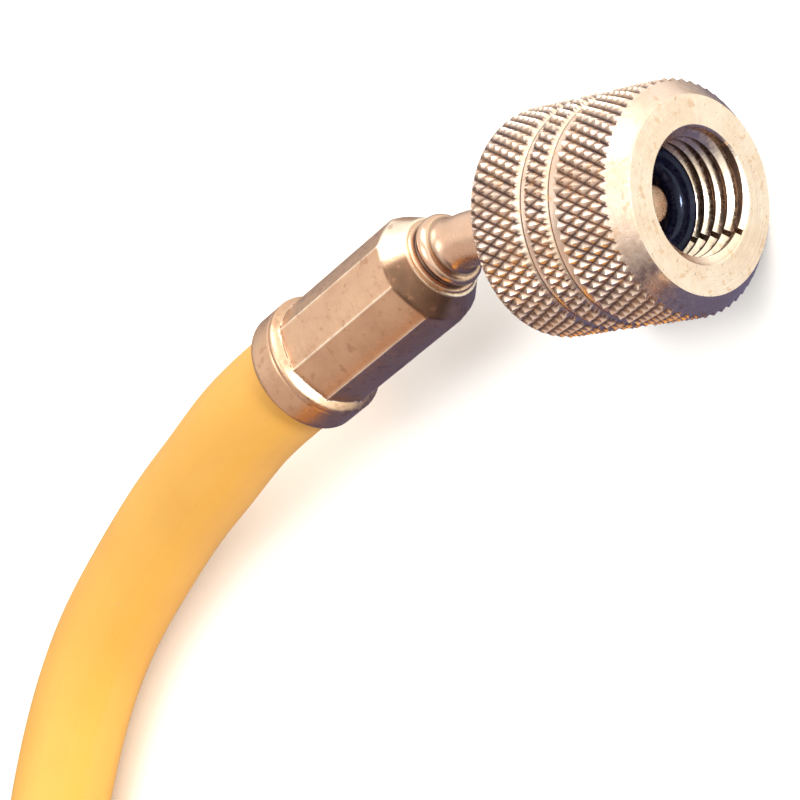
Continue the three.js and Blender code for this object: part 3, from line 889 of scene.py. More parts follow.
    def thread(self, axes: Axes) -> list[Grid]:
        """The thread's ridge, one closed stretch for each turn between the slot's two edges.

        The ridge's section has its foot in the root, flanks at 30 degrees and a flat crest, and runs
        on the helix s = s0 + pitch a / 2 pi. The mouth's chamfer cuts the crest down.

        Args:
            axes: X out of the mouth, with the origin at the nut's face's centre.

        Returns:
            The stretches.
        """
        grids = []
        half_slot = self.slot_width / 2.0 / self.root_radius
        fade, back = (self.thread_length - ahead for ahead in self.thread_fade)
        for n in range(int(np.ceil(self.thread_length / self.thread_pitch)) + 1):
            a = np.linspace(half_slot, FULL_TURN - half_slot, 90)
            s = self.thread_pitch * (n + self.thread_start + a / FULL_TURN)
            keep = (s > self.thread_front) & (s < back)
            if keep.sum() < 4:
                continue
            a, s = a[keep], s[keep]
            root, foot = np.full_like(s, self.root_radius + 0.03), np.full_like(s, self.thread_foot)
            chamfer = self.chamfer_radius - self.chamfer_slope * s
            faded = self.crest_radius + 0.5 * eased(s, fade, back)
            crest = np.clip(np.maximum(faded, chamfer), None, self.root_radius - 0.01)
            top = foot - (root - crest) * np.tan(self.flank)
            bevel = np.minimum(self.crest_bevel, (root - crest) / 3.0)
            cut = bevel * 0.4
            offsets = np.stack([-foot, -top - cut, -top + cut, top - cut, top + cut, foot], 1)
            radii = np.stack([root, crest + bevel, crest, crest, crest + bevel, root], 1)
            local = about_axis(s[:, None] + offsets, radii, (a + np.radians(self.slot_angle))[:, None])
            # Painted highlight on the ridge's front flank, and painted shade on its crest and back flank.
            grids.append(Grid(axes.place(local), cap_ends=True, relief=np.array(self.THREAD_SHADING)))
        return grids

    def build(self, name: str, axes: Axes) -> bpy.types.Object:
        """Makes the nut.

        Args:
            name: the piece's name.
            axes: X out of its mouth, with the origin at its face's centre.

        Returns:
            The piece.
        """
        shell = Shell().add(self.body(axes))
        for grid in self.thread(axes):
            shell.add(grid)
        return shell.to_piece(name, crease=24.0)


# What sits in the nut and behind it


@dataclass(frozen=True)
class Gasket:
    """The ring that the nut presses on the fitting, with a low rim round its front."""

    front: float = 4.85
    thickness: float = 2.85
    hole: float = 2.6
    radius: float = 4.75
    rim_height: float = 0.1

    def build(self, name: str, axes: Axes) -> bpy.types.Object:
        """Makes the ring.

        Args:
            name: the piece's name.
            axes: the nut's axes.

        Returns:
            The piece.
        """
        back, front, r = self.front + self.thickness, self.front, self.radius
        rim = front - self.rim_height
        section = filleted([
            (back, self.hole, 0.15), (back, r, 0.15), (front + 0.2, r, 0.15), (rim, r - 0.1, 0.12),
            (rim, r - 0.26, 0.08), (front + 0.08, r - 0.76, 0.12), (front + 0.14, self.hole + 0.5, 0.35),
            (front + 0.8, self.hole, 0.3),
        ], steps=8)
        return Shell().add(turned(axes, section, 128)).to_piece(name, crease=60.0)


@dataclass(frozen=True)
class Depressor:
    """A post on a four-armed foot, in the gasket's hole, which pushes a valve open."""

    tip: float = 5.15
    foot_front: float = 6.9
    foot_back: float = 7.7
    radius: float = 1.65
    foot_radius: float = 2.3
    arm: float = 1.2
    between_arms: float = 1.35

    def build(self, name: str, axes: Axes) -> bpy.types.Object:
        """Makes the post and the foot.

        The foot's outline is r = half an arm / |sin b|, where b is the angle from the nearest arm's
        middle, but no more than the arms' ends, and no less than the round between the arms.

        Args:
            name: the piece's name.
            axes: the nut's axes.

        Returns:
            The piece.
        """
        post_back, middle, edge, inset = self.foot_front + 0.2, 0.02, 0.06, 0.97
        post = filleted([
            (post_back, middle, 0.0), (post_back, self.radius, 0.1),
            (self.tip, self.radius, 0.28), (self.tip + 0.04, middle, 0.0),
        ], steps=5)
        a, half = angles(96), self.arm / 2.0
        b = (a + QUARTER_TURN / 2.0) % QUARTER_TURN - QUARTER_TURN / 2.0
        reach = np.minimum(self.foot_radius, half / np.maximum(np.abs(np.sin(b)), 1e-3))
        reach = np.maximum(reach, half * self.between_arms)
        front, back = self.foot_front, self.foot_back
        s = np.array([[back], [back - edge], [front + edge], [front]])
        share = np.array([[inset], [1.0], [1.0], [inset]])
        foot = Grid(axes.place(about_axis(s, share * reach, a)), cap_ends=True)
        return Shell().add(turned(axes, post, 64)).add(foot).to_piece(name)


@dataclass(frozen=True)
class Stem:
    """The turned stem: a head in the nut, a barrel, a neck that may bend, two collars and a tail."""

    head_front: float = 8.0
    head_back: float = 10.5
    head_radius: float = 5.4
    barrel_radius: float = 3.1
    barrel_back: float = 18.3
    neck_radius: float = 2.42
    passage_radius: float = 1.6
    bend_station: float = 28.2
    bend_radius: float = 10.0
    shank_radius: float = 3.0
    shank_end: float = 7.0
    tail_radius: float = 2.6
    tail_end: float = 23.2
    sides: int = 96
    plain_relief: float = 0.66
    # Painted shade in the gap between the collars, in the crease ahead of them and inside the passage.
    gap_shade: float = 0.05
    seam_shade: float = 0.35
    inside_shade: float = 0.3

    # The two collars behind the bend, with the gap between them: stations, radii and fillets.
    COLLARS = (
        (1.08, 2.75, 0.12), (1.12, 3.15, 0.2), (1.5, 3.45, 0.25), (2.1, 3.45, 0.25), (2.3, 3.1, 0.1),
        (2.6, 3.1, 0.1), (2.66, 3.6, 0.10), (2.8, 3.72, 0.08), (3.05, 3.68, 0.06),
    )

    # Stations of the neck's and the passage's rings round the bend.
    NECK_RINGS = (-2.2, -1.5, -0.8, -0.1)
    PASSAGE_RINGS = (3.0, 1.3, 0.6, 0.0, -0.8, -1.6, -2.4)

    def _section(self) -> tuple[np.ndarray, int]:
        """The stem's section, from the nut's face through the bend, where the tail's own begins.

        Returns:
            Stations and radii outside, then inside, and how many of them are outside.
        """
        bend, barrel, neck = self.bend_station, self.barrel_radius, self.neck_radius
        corners = [
            (self.head_front, self.passage_radius, 0.1), (self.head_front, self.head_radius, 0.2),
            (self.head_back, self.head_radius, 0.2), (self.head_back, barrel, 0.15),
            (self.barrel_back, barrel, 0.3), (self.barrel_back + 1.2, neck, 0.5),
            *((bend + q, neck, 0.0) for q in self.NECK_RINGS),
            (bend + 0.5, neck + 0.02, 0.0), (bend + 0.95, neck + 0.18, 0.0),
            *((bend + q, r, cut) for q, r, cut in self.COLLARS),
            (bend + self.COLLARS[-1][0], self.shank_radius, 0.0),
            (bend + self.shank_end, self.shank_radius, 0.0),
            (bend + self.shank_end, self.tail_radius, 0.0), (bend + self.tail_end, self.tail_radius, 0.1),
        ]
        outside = filleted(corners, closed=False)
        ends = (bend + self.tail_end, *(bend + q for q in self.PASSAGE_RINGS), self.head_front + 0.2)
        inside = np.array([(s, self.passage_radius) for s in ends])
        return np.vstack([outside, inside]), len(outside)

    def _bent(
        self, stations: np.ndarray, mouth: Axes, tail: Axes
    ) -> tuple[np.ndarray, np.ndarray, np.ndarray]:
        """Centres of the stem at stations, and two unit vectors across it.

        Before the bend the centre is C + q d0, and behind it C + q d1, where q is the distance from
        the corner C. Between them it is S + R (sin f d0 + (1 - cos f) n), where f goes from 0 to the
        bend's angle, S is where the arc starts and n points to the arc's centre.

        Args:
            stations: stations behind the nut's face.
            mouth: the nut's axes.
            tail: the hose end's axes.

        Returns:
            The centres, and the two unit vectors, one row each.
        """
        corner = np.array(tail.origin)
        d0, d1 = -mouth.directions()[:, 0], -tail.directions()[:, 0]
        angle = np.arccos(np.clip(d0 @ d1, -1.0, 1.0))
        q = (stations - self.bend_station)[:, None]
        if angle < 1e-4:
            across = np.broadcast_to(np.cross([0.0, 0.0, 1.0], d0), (len(q), 3))
            return corner + q * d0, across, np.broadcast_to([0.0, 0.0, 1.0], (len(q), 3))
        reach = self.bend_radius * np.tan(angle / 2.0)
        inward = (d1 - d0 * np.cos(angle)) / np.sin(angle)
        f = angle * np.clip((q + reach) / (2.0 * reach), 0.0, 1.0)
        arc = corner - d0 * reach + self.bend_radius * (np.sin(f) * d0 + (1.0 - np.cos(f)) * inward)
        ahead = np.cos(f) * d0 + np.sin(f) * inward
        centre = np.where(q < -reach, corner + q * d0, np.where(q > reach, corner + q * d1, arc))
        normal = np.broadcast_to(np.cross(d0, d1) / np.sin(angle), (len(q), 3))
        return centre, np.cross(normal, ahead), normal

    def build(self, name: str, mouth: Axes, tail: Axes) -> bpy.types.Object:
        """Makes the stem.

        Args:
            name: the piece's name.
            mouth: the nut's axes.
            tail: the hose end's axes, with the origin at the bend.

        Returns:
            The piece.
        """
        section, outside = self._section()
        centre, across, up = self._bent(section[:, 0], mouth, tail)
        outline = section[:, 1][:, None, None] * unit_circle(self.sides)
        s, r = section[:, 0] - self.bend_station, section[:, 1]
        # Painted shade in the gap between the collars, in the crease where the neck meets the first collar,
        # and inside the passage.
        between_collars = (s > 2.28) & (s < 2.65) & (r < 3.2)
        before_them = (s > 0.9) & (s < 1.12) & (r < 2.9)
        levels = [self.gap_shade, self.seam_shade]
        relief = np.select([between_collars, before_them], levels, self.plain_relief)
        relief[outside:] = self.inside_shade
        points, along = swept(centre, outline, across, up), stretch(section, True)
        return Shell().add(Grid(points, ring_rows=True, relief=relief[:, None], along=along)).to_piece(name)


@dataclass(frozen=True)
class Ferrule:
    """The shell that is crimped round the hose: eight pressed flats, and a round skirt at the hose."""

    front: float = 2.95
    nose_radius: float = 3.95
    nose_length: float = 2.35
    flat_radius: float = 5.1
    corner_radius: float = 5.5
    corner_angle: float = 23.5
    crown: float = 0.5
    bulge: float = 0.14
    rib_height: float = 0.05
    rib_width: float = 0.16
    blend: float = 0.16
    flat_count: int = 8
    crimp_end: float = 20.3
    flare_start: float = 4.6
    skirt_radius: float = 6.06
    end: float = 24.2
    bore: float = 3.3
    shell_radius: float = 4.35
    shell_front: float = 7.0
    mouth_radius: float = 5.4
    mouth_front: float = 21.8
    skirt_rings: Triple = (22.4, 23.0, 23.6)
    nose_edge: float = 0.1
    nose_over: float = 0.08
    nose_share: float = 0.93
    lip_depth: float = 0.22
    lip_length: float = 0.32
    flare_reach: float = 0.6
    trim_depth: float = 0.05
    tarnish_angle: float = -42.0
    tarnish_reach: Pair = (0.60, 0.84)
    # A painted highlight on the lit side of the nose.
    nose_highlight_angle: float = 35.0
    nose_highlight_reach: Pair = (0.80, 0.92)
    # Relief levels: painted shade along the seam where the flats meet the flare and inside the shell;
    # painted highlights beside the scalloped edges, along the creases between flats and on the nose's front
    # edge.
    flat_relief: float = 0.60
    skirt_relief: float = 0.64
    seam_shade: float = 0.08
    seam_width: float = 0.045
    edge_shine: Pair = (0.34, 0.16)
    crease_shine: Pair = (0.36, 0.14)
    tarnish_share: float = 0.8
    front_edge_highlight: float = 0.95
    inside_shade: float = 0.2
    columns: int = 384

    @property
    def share(self) -> float:
        """The angle that one flat takes up."""
        return FULL_TURN / self.flat_count

    @property
    def nose_back(self) -> float:
        """The station where the nose's cone meets the flats."""
        return self.front + self.nose_length

    def _from_middle(self, a: np.ndarray) -> np.ndarray:
        """How far an angle lies from the middle of its flat."""
        return (a - np.radians(self.corner_angle)) % self.share - self.share / 2.0

    def _to_corner(self, a: np.ndarray) -> np.ndarray:
        """Millimetres from an angle to the nearest corner between two flats."""
        return (self.share / 2.0 - np.abs(self._from_middle(a))) * self.flat_radius

    def _flat(self, a: np.ndarray) -> np.ndarray:
        """Radius of the pressed part at an angle.

        A flat at distance d from the axis is d / cos b, b being the angle from its middle, and it is
        drawn part of the way to a circle, so that it bulges. The corners carry a low rib.

        Args:
            a: the angles.

        Returns:
            The radius at each of them.
        """
        bulged = self.crown * (self.flat_radius + self.bulge)
        flat = (1.0 - self.crown) * self.flat_radius / np.cos(self._from_middle(a)) + bulged
        rib = self.rib_height * np.exp(-((self._to_corner(a) / self.rib_width) ** 2))
        return np.minimum(flat, self.corner_radius) + rib

    def _stations(self) -> np.ndarray:
        """Stations of the outside's rows, close together where its shape changes.

        Returns:
            The stations behind the bend, in one column.
        """
        front, nose_back, crimp, end = self.front, self.nose_back, self.crimp_end, self.end
        return np.concatenate([
            [front, front + 0.05], np.linspace(front + 0.2, nose_back + 0.6, 20),
            np.linspace(nose_back + 1.2, crimp - 1.6, 10), np.linspace(crimp - 1.2, crimp + 1.4, 40),
            [*self.skirt_rings, end - 0.3, end - 0.16, end - 0.05, end],
        ])[:, None]

    def _outside(self, q: np.ndarray, a: np.ndarray) -> tuple[np.ndarray, np.ndarray]:
        """The outside's radius, and the flare's radius on its own.

        The radius is the lower of the flats and the nose's cone, and behind them the higher of the
        flats and the skirt's flare, which gives the scalloped edges. Where the two come within w of
        each other, (w - gap)^2 / 4w is added, which rounds the edge.

        Args:
            q: stations behind the bend.
            a: angles.

        Returns:
            The radius at each station and angle, and the flare's at each station.
        """
        slope = (self.corner_radius + self.nose_over - self.nose_radius) / self.nose_length
        edge = self.nose_edge * eased(q, self.front - 0.001, self.front + 0.06)
        nose = self.nose_radius - self.nose_edge + edge + slope * (q - self.front) * self.nose_share
        lip = self.lip_depth * eased(q, self.end - self.lip_length, self.end) ** 2
        low, crimp, reach = self.flare_start, self.crimp_end, self.flare_reach
        flare = low + (self.skirt_radius - low) * eased(q, crimp - reach, crimp + reach)
        trim = self.trim_depth * np.exp(-(((q - crimp - 0.95) / 0.12) ** 2))
        pressed = np.minimum(self._flat(a), nose)
        blend = np.maximum(self.blend - np.abs(pressed - flare), 0.0) ** 2 / (4.0 * self.blend)
        scalloped = np.maximum(pressed, flare) + blend
        return np.where(q > crimp - 1.1, scalloped, pressed) - lip - trim, flare

    def _painted_light(self, q: np.ndarray, a: np.ndarray, flare: np.ndarray) -> np.ndarray:
        """How bright the outside is painted: painted shade along the scalloped edges, painted highlights
        beside them, along the creases, on the nose's front edge and on one side of the nose, and tarnish.

        Args:
            q: stations behind the bend.
            a: angles.
            flare: the flare's radius at each station.

        Returns:
            The relief at each station and angle.
        """
        flat = self._flat(a)
        # Painted highlight on the skirt beside the scalloped edge, and painted shade along the seam itself.
        shine, width = self.edge_shine
        meeting = np.abs(flare - flat)
        near = (q > self.crimp_end - 1.1) & (q < self.crimp_end + 1.4)
        edge = self.skirt_relief + shine * np.exp(-((meeting / width) ** 2))
        relief = np.where(near & (flare > flat), edge, self.flat_relief)
        relief = np.where(near & (meeting < self.seam_width), self.seam_shade, relief)
        # Painted highlight along the creases between flats.
        shine, width = self.crease_shine
        crease = self.flat_relief + shine * np.exp(-((self._to_corner(a) / width) ** 2))
        on_flats = (q > self.nose_back - 0.2) & (flare < flat)
        relief = np.where(on_flats, np.maximum(relief, crease), relief)
        low, high = self.tarnish_reach
        tarnish = eased(np.cos(a - np.radians(self.tarnish_angle)), low, high)
        tarnish = tarnish * (1.0 - eased(q, self.nose_back - 0.3, self.nose_back + 0.1))
        relief = relief * (1.0 - self.tarnish_share * tarnish)
        # Painted highlight on the lit side of the nose, and a brighter painted highlight on its front edge.
        low, high = self.nose_highlight_reach
        nose_highlight = eased(np.cos(a - np.radians(self.nose_highlight_angle)), low, high)
        nose_highlight = nose_highlight * (1.0 - eased(q, self.nose_back - 0.2, self.nose_back + 0.1))
        return np.where(q < self.front + 0.12, self.front_edge_highlight, relief + (1.0 - relief) * nose_highlight)

    def build(self, name: str, axes: Axes) -> bpy.types.Object:
        """Makes the ferrule.

        Args:
            name: the piece's name.
            axes: X toward the nut, with the origin at the stem's bend.

        Returns:
            The piece.
        """
        q, a = self._stations(), angles(self.columns)
        outer, flare = self._outside(q, a)
        inside = filleted([
            (self.end, self.mouth_radius + 0.1, 0.0), (self.end - 0.2, self.mouth_radius, 0.0),
            (self.mouth_front, self.mouth_radius, 0.0), (self.mouth_front - 1.2, self.shell_radius, 0.0),
            (self.shell_front, self.shell_radius, 0.0), (self.shell_front, self.bore, 0.0),
            (self.front, self.bore, 0.0),
        ], closed=False)
        inner = np.broadcast_to(inside[:, 1:], (len(inside), self.columns))
        radii, s = np.vstack([outer, inner]), np.vstack([q, inside[:, :1]])
        relief = np.vstack([self._painted_light(q, a, flare), np.full(inner.shape, self.inside_shade)])
        along = stretch(np.hstack([s, radii[:, :1]]), True)
        grid = Grid(axes.place(about_axis(s, radii, a)), ring_rows=True, relief=relief, along=along)
        return Shell().add(grid).to_piece(name, crease=30.0)


@dataclass(frozen=True)
class EndFitting:
    """A nut, gasket, depressor, stem and ferrule on one end of the hose."""

    prefix: str
    face: Triple
    turn: float
    bend: float
    drop: float
    nut_body: Body
    nut: SwivelNut = field(default_factory=SwivelNut)
    gasket: Gasket = field(default_factory=Gasket)
    depressor: Depressor = field(default_factory=Depressor)
    stem: Stem = field(default_factory=Stem)
    ferrule: Ferrule = field(default_factory=Ferrule)

    @property
    def mouth(self) -> Axes:
        """The nut's axes, with the origin at its face's centre."""
        return Axes(self.face, self.turn)

    @property
    def tail(self) -> Axes:
        """The hose end's axes, with the origin at the stem's bend."""
        corner = self.mouth.place(np.array([-self.stem.bend_station, 0.0, 0.0]))
        return Axes(tuple(corner), self.turn + self.bend, self.drop)

    def at_tail(self, *stations: float) -> np.ndarray:
        """Points on the hose end's axis, that far behind the bend."""
        return self.tail.place(np.array([(-s, 0.0, 0.0) for s in stations]))

    def build(self, finishes: Finishes) -> list[bpy.types.Object]:
        """Makes and dresses the five pieces.

        Args:
            finishes: the part's finishes.

        Returns:
            The pieces.
        """
        p, mouth, tail, root = self.prefix, self.mouth, self.tail, Body.ROOT
        pieces = (
            (self.nut.build(p + "swivel_nut", mouth), finishes.nut, Slot.NUT, self.nut_body, "coupling_nut"),
            (self.gasket.build(p + "gasket", mouth), finishes.seal, Slot.SEAL, root, "seal_ring"),
            (self.depressor.build(p + "depressor", mouth), finishes.stem, Slot.STEM, root, "core_depressor"),
            (self.stem.build(p + "stem", mouth, tail), finishes.stem, Slot.STEM, root, "hose_stem"),
            (self.ferrule.build(p + "ferrule", tail), finishes.ferrule, Slot.FERRULE, root, "crimp_ferrule"),
        )
        return [dress(piece, finish, slot, body, p + node) for piece, finish, slot, body, node in pieces]


# Hose and tie


# Centreline of the hose from the bent end to the coil, in metres from the nut's face centre, with
# heights above the floor.
LEAD_POINTS = [
    (-0.0600, -0.01335, 0.0090), (-0.0669, -0.0170, 0.0079), (-0.0739, -0.0207, 0.0067),
    (-0.0796, -0.0245, 0.0059), (-0.0845, -0.0283, 0.0054), (-0.0886, -0.0322, 0.0052),
    (-0.0919, -0.0364, 0.00515), (-0.0948, -0.0412, 0.00515), (-0.0986, -0.0495, 0.00515),
    (-0.1020, -0.0600, 0.00515), (-0.1048, -0.0730, 0.00515), (-0.1064, -0.0870, 0.00515),
    (-0.1072, -0.1010, 0.00515), (-0.1075, -0.1120, 0.00515),
]

# Centreline from the top of the coil to the straight end, after the coil's last point.
TAIL_POINTS = [
    (-0.0340, -0.1860, 0.0155), (-0.0238, -0.1860, 0.0151), (-0.0134, -0.1851, 0.0137),
    (-0.0023, -0.1820, 0.0119), (0.0080, -0.1769, 0.0104), (0.0171, -0.1699, 0.0095),
    (0.0247, -0.1613, 0.0091), (0.0306, -0.1514, 0.0091), (0.0347, -0.1395, 0.0094),
    (0.0362, -0.1260, 0.00975),
]


@dataclass(frozen=True)
class CoilTie:
    """A nylon tie round the coil's turns, which presses them together a little."""

    angle: float = 225.0
    width: float = 4.8
    thickness: float = 1.1
    inner: Pair = (46.1, 67.1)
    low: float = 1.15
    high: float = 20.9
    rounding: float = 5.2
    head: Triple = (5.4, 7.4, 5.8)
    head_gap: float = 0.15
    head_round: float = 0.8
    head_corner: float = 1.0
    end_sink: float = 0.6
    end_place: float = 0.55
    end_rise: float = 6.6
    end_lean: float = 0.9
    end_taper: float = 0.12

    def _loop(self, grow: float) -> np.ndarray:
        """The rounded rectangle round the turns, grown by that much, as radius and height."""
        low, high = (self.inner[0] - grow, self.low - grow), (self.inner[1] + grow, self.high + grow)
        return rectangle(low, high, self.rounding + grow, steps=10)

    def _band(self) -> np.ndarray:
        """The band: a rounded rectangle carried round the loop.

        Returns:
            Its points in the tie's axes.
        """
        half, thick = self.width / 2.0, self.thickness
        inner = self._loop(0.0)
        out = (self._loop(thick) - inner) / thick
        section = filleted([
            (-half, 0.0, 0.25), (half, 0.0, 0.25), (half, thick, 0.35), (-half, thick, 0.35),
        ])
        x, z = (inner[:, i:i + 1] + out[:, i:i + 1] * section[:, 1] for i in (0, 1))
        return np.stack(np.broadcast_arrays(x, section[:, 0], z), -1)

    def _head(self, seat: float, middle: float) -> np.ndarray:
        """The head: a block whose outline draws in at both ends by a quarter circle.

        Args:
            seat: how far out its inner end is.
            middle: the height of its middle.

        Returns:
            Its points in the tie's axes.
        """
        depth, half = self.head[0], np.array(self.head[1:]) / 2.0
        f = np.linspace(0.0, QUARTER_TURN, 6)
        inset, run = self.head_round * (1 - np.sin(f)), self.head_round * (1 - np.cos(f))
        inset = np.concatenate([inset, inset[::-1]])[:, None, None]
        level = np.concatenate([seat + run, seat + depth - run[::-1]])[:, None]
        rows = rectangle(tuple(-half), tuple(half), self.head_corner, steps=6) * (1.0 - inset / half)
        return np.stack(np.broadcast_arrays(level, rows[..., 0], rows[..., 1] + middle), -1)

    def _cut_end(self, seat: float, middle: float) -> np.ndarray:
        """The band's cut end, which rises out of the head, leans out by t^2 and narrows by t^4.

        Args:
            seat: how far out the head's inner end is.
            middle: the height of the head's middle.

        Returns:
            Its points in the tie's axes.
        """
        half = self.width / 2.0 - 0.1
        band = rectangle((-half, -0.5), (half, 0.5), 0.2)
        t = np.linspace(0.0, 1.0, 12)[:, None]
        rise = middle + self.head[2] / 2.0 - self.end_sink + self.end_rise * t
        lean = seat + self.head[0] * self.end_place + self.end_lean * t**2
        across = band[:, 0] * (1 - self.end_taper * t**4)
        return np.stack(np.broadcast_arrays(lean + band[:, 1], across, rise), -1)

    def build(self, name: str, centre: Pair) -> bpy.types.Object:
        """Makes the tie, whose axes are X out from the coil's centre, Y across the band and Z up.

        Args:
            name: the piece's name.
            centre: the coil's centre.

        Returns:
            The piece.
        """
        axes = Axes((*centre, 0.0), self.angle)
        seat, middle = self.inner[1] + self.head_gap, (self.low + self.high) / 2.0
        shell = Shell().add(Grid(axes.place(self._band()), ring_rows=True))
        shell.add(Grid(axes.place(self._head(seat, middle)), cap_ends=True))
        shell.add(Grid(axes.place(self._cut_end(seat, middle)), cap_ends=True))
        return shell.to_piece(name, crease=40.0)


@dataclass(frozen=True)
class Hose:
    """The hose from one ferrule to the other, with its spare length in a coil of 3 1/4 turns."""

    diameter: float = 10.2
    centre: Pair = (-45.7, -124.2)
    outer_turn: float = 61.8
    inner_turn: float = 51.4
    low: float = 5.15
    high: float = 15.45
    coiled: float = 1170.0
    draw_in: Pair = (280.0, 357.0)
    draw_out: Pair = (925.0, 1000.0)
    climb: Pair = (600.0, 690.0)
    lift: Pair = (1.25, 0.6)
    lift_width: float = 18.0
    press_reach: float = 30.0
    press_radii: Pair = (40.0, 75.0)
    press_slack: float = 0.12
    press_gap: float = 0.02
    hose_end: float = 21.9
    straight_to: float = 28.0
    step: float = 1.6
    sides: int = 48
    tie: CoilTie = field(default_factory=CoilTie)

    @property
    def middle(self) -> float:
        """The height between the coil's two layers."""
        return (self.low + self.high) / 2.0

    def coil_points(self) -> np.ndarray:
        """Centreline of the coil, from the nut's face centre, with heights above the floor.

        At winding angle w the point lies at centre + R (cos, sin)(180 + w degrees). R draws in
        from the outer turn to the inner one and goes back out, the height goes up by one layer,
        and both layers rise a little over the tie.

        Returns:
            The points, one row each.
        """
        w = np.arange(0.0, self.coiled + 2.5, 5.0)
        inward = eased(w, *self.draw_in) - eased(w, *self.draw_out)
        r = self.outer_turn + (self.inner_turn - self.outer_turn) * inward
        z = self.low + (self.high - self.low) * eased(w, *self.climb)
        off = (w - self.tie.angle) % 360.0 - 180.0
        z = z + np.exp(-((off / self.lift_width) ** 2)) * np.where(z < self.middle, *self.lift)
        a = np.radians(w + 180.0)
        return np.stack([self.centre[0] + r * np.cos(a), self.centre[1] + r * np.sin(a), z], 1)

    def line(self, near: EndFitting, far: EndFitting) -> np.ndarray:
        """The whole centreline in the row frame, from inside one ferrule to inside the other.

        Args:
            near: the bent end.
            far: the straight end.

        Returns:
            The centreline's points, in millimetres.
        """
        lead, tail = np.array(LEAD_POINTS) / MM, np.array(TAIL_POINTS) / MM
        route = np.vstack([lead, self.coil_points(), tail]) + np.array([*near.face[:2], 0.0])
        start = near.at_tail(self.hose_end, near.ferrule.end)
        end = far.at_tail(self.straight_to, far.ferrule.end, self.hose_end)
        return smooth_line(np.vstack([start, route, end]), self.step)

    def _pressed(self, points: np.ndarray, origin: np.ndarray, lower: np.ndarray) -> np.ndarray:
        """Presses the layers into the tie, and against each other, near the tie only.

        Heights are clipped to the tie's inside and to the plane between the layers. Away from the
        tie the limits open by a fixed slope.

        Args:
            points: the tube's points.
            origin: the nut's face centre, on the floor.
            lower: whether a ring of points is in the lower layer.

        Returns:
            The points with new heights.
        """
        away = points[..., :2] - (np.array(self.centre) + origin[:2])
        radius = np.linalg.norm(away, axis=-1)
        toward = np.radians(self.tie.angle)
        out = np.array([np.cos(toward), np.sin(toward)])
        along = np.abs(away @ np.array([-out[1], out[0]]))
        inner, outer = self.press_radii
        near = (away @ out > 0.0) & (along < self.press_reach) & (radius > inner) & (radius < outer)
        slack = np.maximum(along - self.tie.width / 2.0, 0.0) * self.press_slack - self.press_gap
        z, between = points[..., 2], self.middle + sum(self.lift) / 2.0
        below = np.clip(z, self.tie.low - slack, between + slack)
        above = np.clip(z, between - slack, self.tie.high + slack)
        pressed = np.where(near, np.where(lower, below, above), z)
        return np.concatenate([points[..., :2], pressed[..., None]], -1)

    def build(self, name: str, near: EndFitting, far: EndFitting) -> tuple[bpy.types.Object, np.ndarray]:
        """Makes the hose as a round tube on its centreline.

        Args:
            name: the piece's name.
            near: the bent end.
            far: the straight end.

        Returns:
            The piece, and the centreline in millimetres.
        """
        line = self.line(near, far)
        across, up = directions_of(line)
        points = swept(line, self.diameter / 2.0 * unit_circle(self.sides), across, up)
        lower = (line[:, 2] < self.middle)[:, None]
        points = self._pressed(points, np.array([*near.face[:2], 0.0]), lower)
        return Shell().add(Grid(points, cap_ends=True)).to_piece(name, crease=60.0), line


# Studio, whose places and sizes are in metres


@dataclass(frozen=True)
class Camera:
    """The photograph's view: a long lens that looks down at 42 degrees, turned on its side."""

    position: Triple = (0.19559, -0.02941, 0.19712)
    right: Triple = (0.66730, -0.06006, -0.74237)
    up: Triple = (0.09004, 0.99594, 0.00036)
    back: Triple = (0.73933, -0.06708, 0.66999)
    lens: float = 141.6
    sensor: float = 36.0
    clip: Pair = (0.01, 20.0)

    def build(self) -> None:
        """Makes the camera and takes it into use."""
        data = bpy.data.cameras.new("photo_camera")
        data.lens, data.sensor_width, data.sensor_fit = self.lens, self.sensor, "HORIZONTAL"
        data.clip_start, data.clip_end = self.clip
        camera = bpy.data.objects.new("photo_camera", data)
        place = np.eye(4)
        place[:3] = np.transpose([self.right, self.up, self.back, self.position])
        camera.matrix_world = Matrix(place.tolist())
        bpy.context.scene.collection.objects.link(camera)
        bpy.context.scene.camera = camera


@dataclass(frozen=True)
class Softbox:
    """A large flat lamp that faces a point near the part, with its power in watts."""

    name: str
    position: Triple
    size: Pair
    power: float
    colour: Triple = (1.0, 1.0, 1.0)
    target: Triple = (0.0, 0.0, 0.0)

    def build(self) -> None:
        """Makes the lamp: its back points from the target to it, and its long side lies nearest to X."""
        data = bpy.data.lights.new(self.name, "AREA")
        data.shape, data.size, data.size_y = "RECTANGLE", *self.size
        data.energy, data.color = self.power, self.colour
        lamp = bpy.data.objects.new(self.name, data)
        place = np.eye(4)
        place[:3, 3] = self.position
        back = np.array(self.position) - np.array(self.target)
        back /= np.linalg.norm(back)
        side = np.array([1.0, 0.0, 0.0]) - back[0] * back
        side /= np.linalg.norm(side)
        place[:3, 0], place[:3, 1], place[:3, 2] = side, np.cross(back, side), back
        lamp.matrix_world = Matrix(place.tolist())
        bpy.context.scene.collection.objects.link(lamp)


@dataclass(frozen=True)
class Glow:
    """A colour that the surround takes on where a direction's dot product with toward is high."""

    toward: Triple
    span: Pair
    colour: Colour


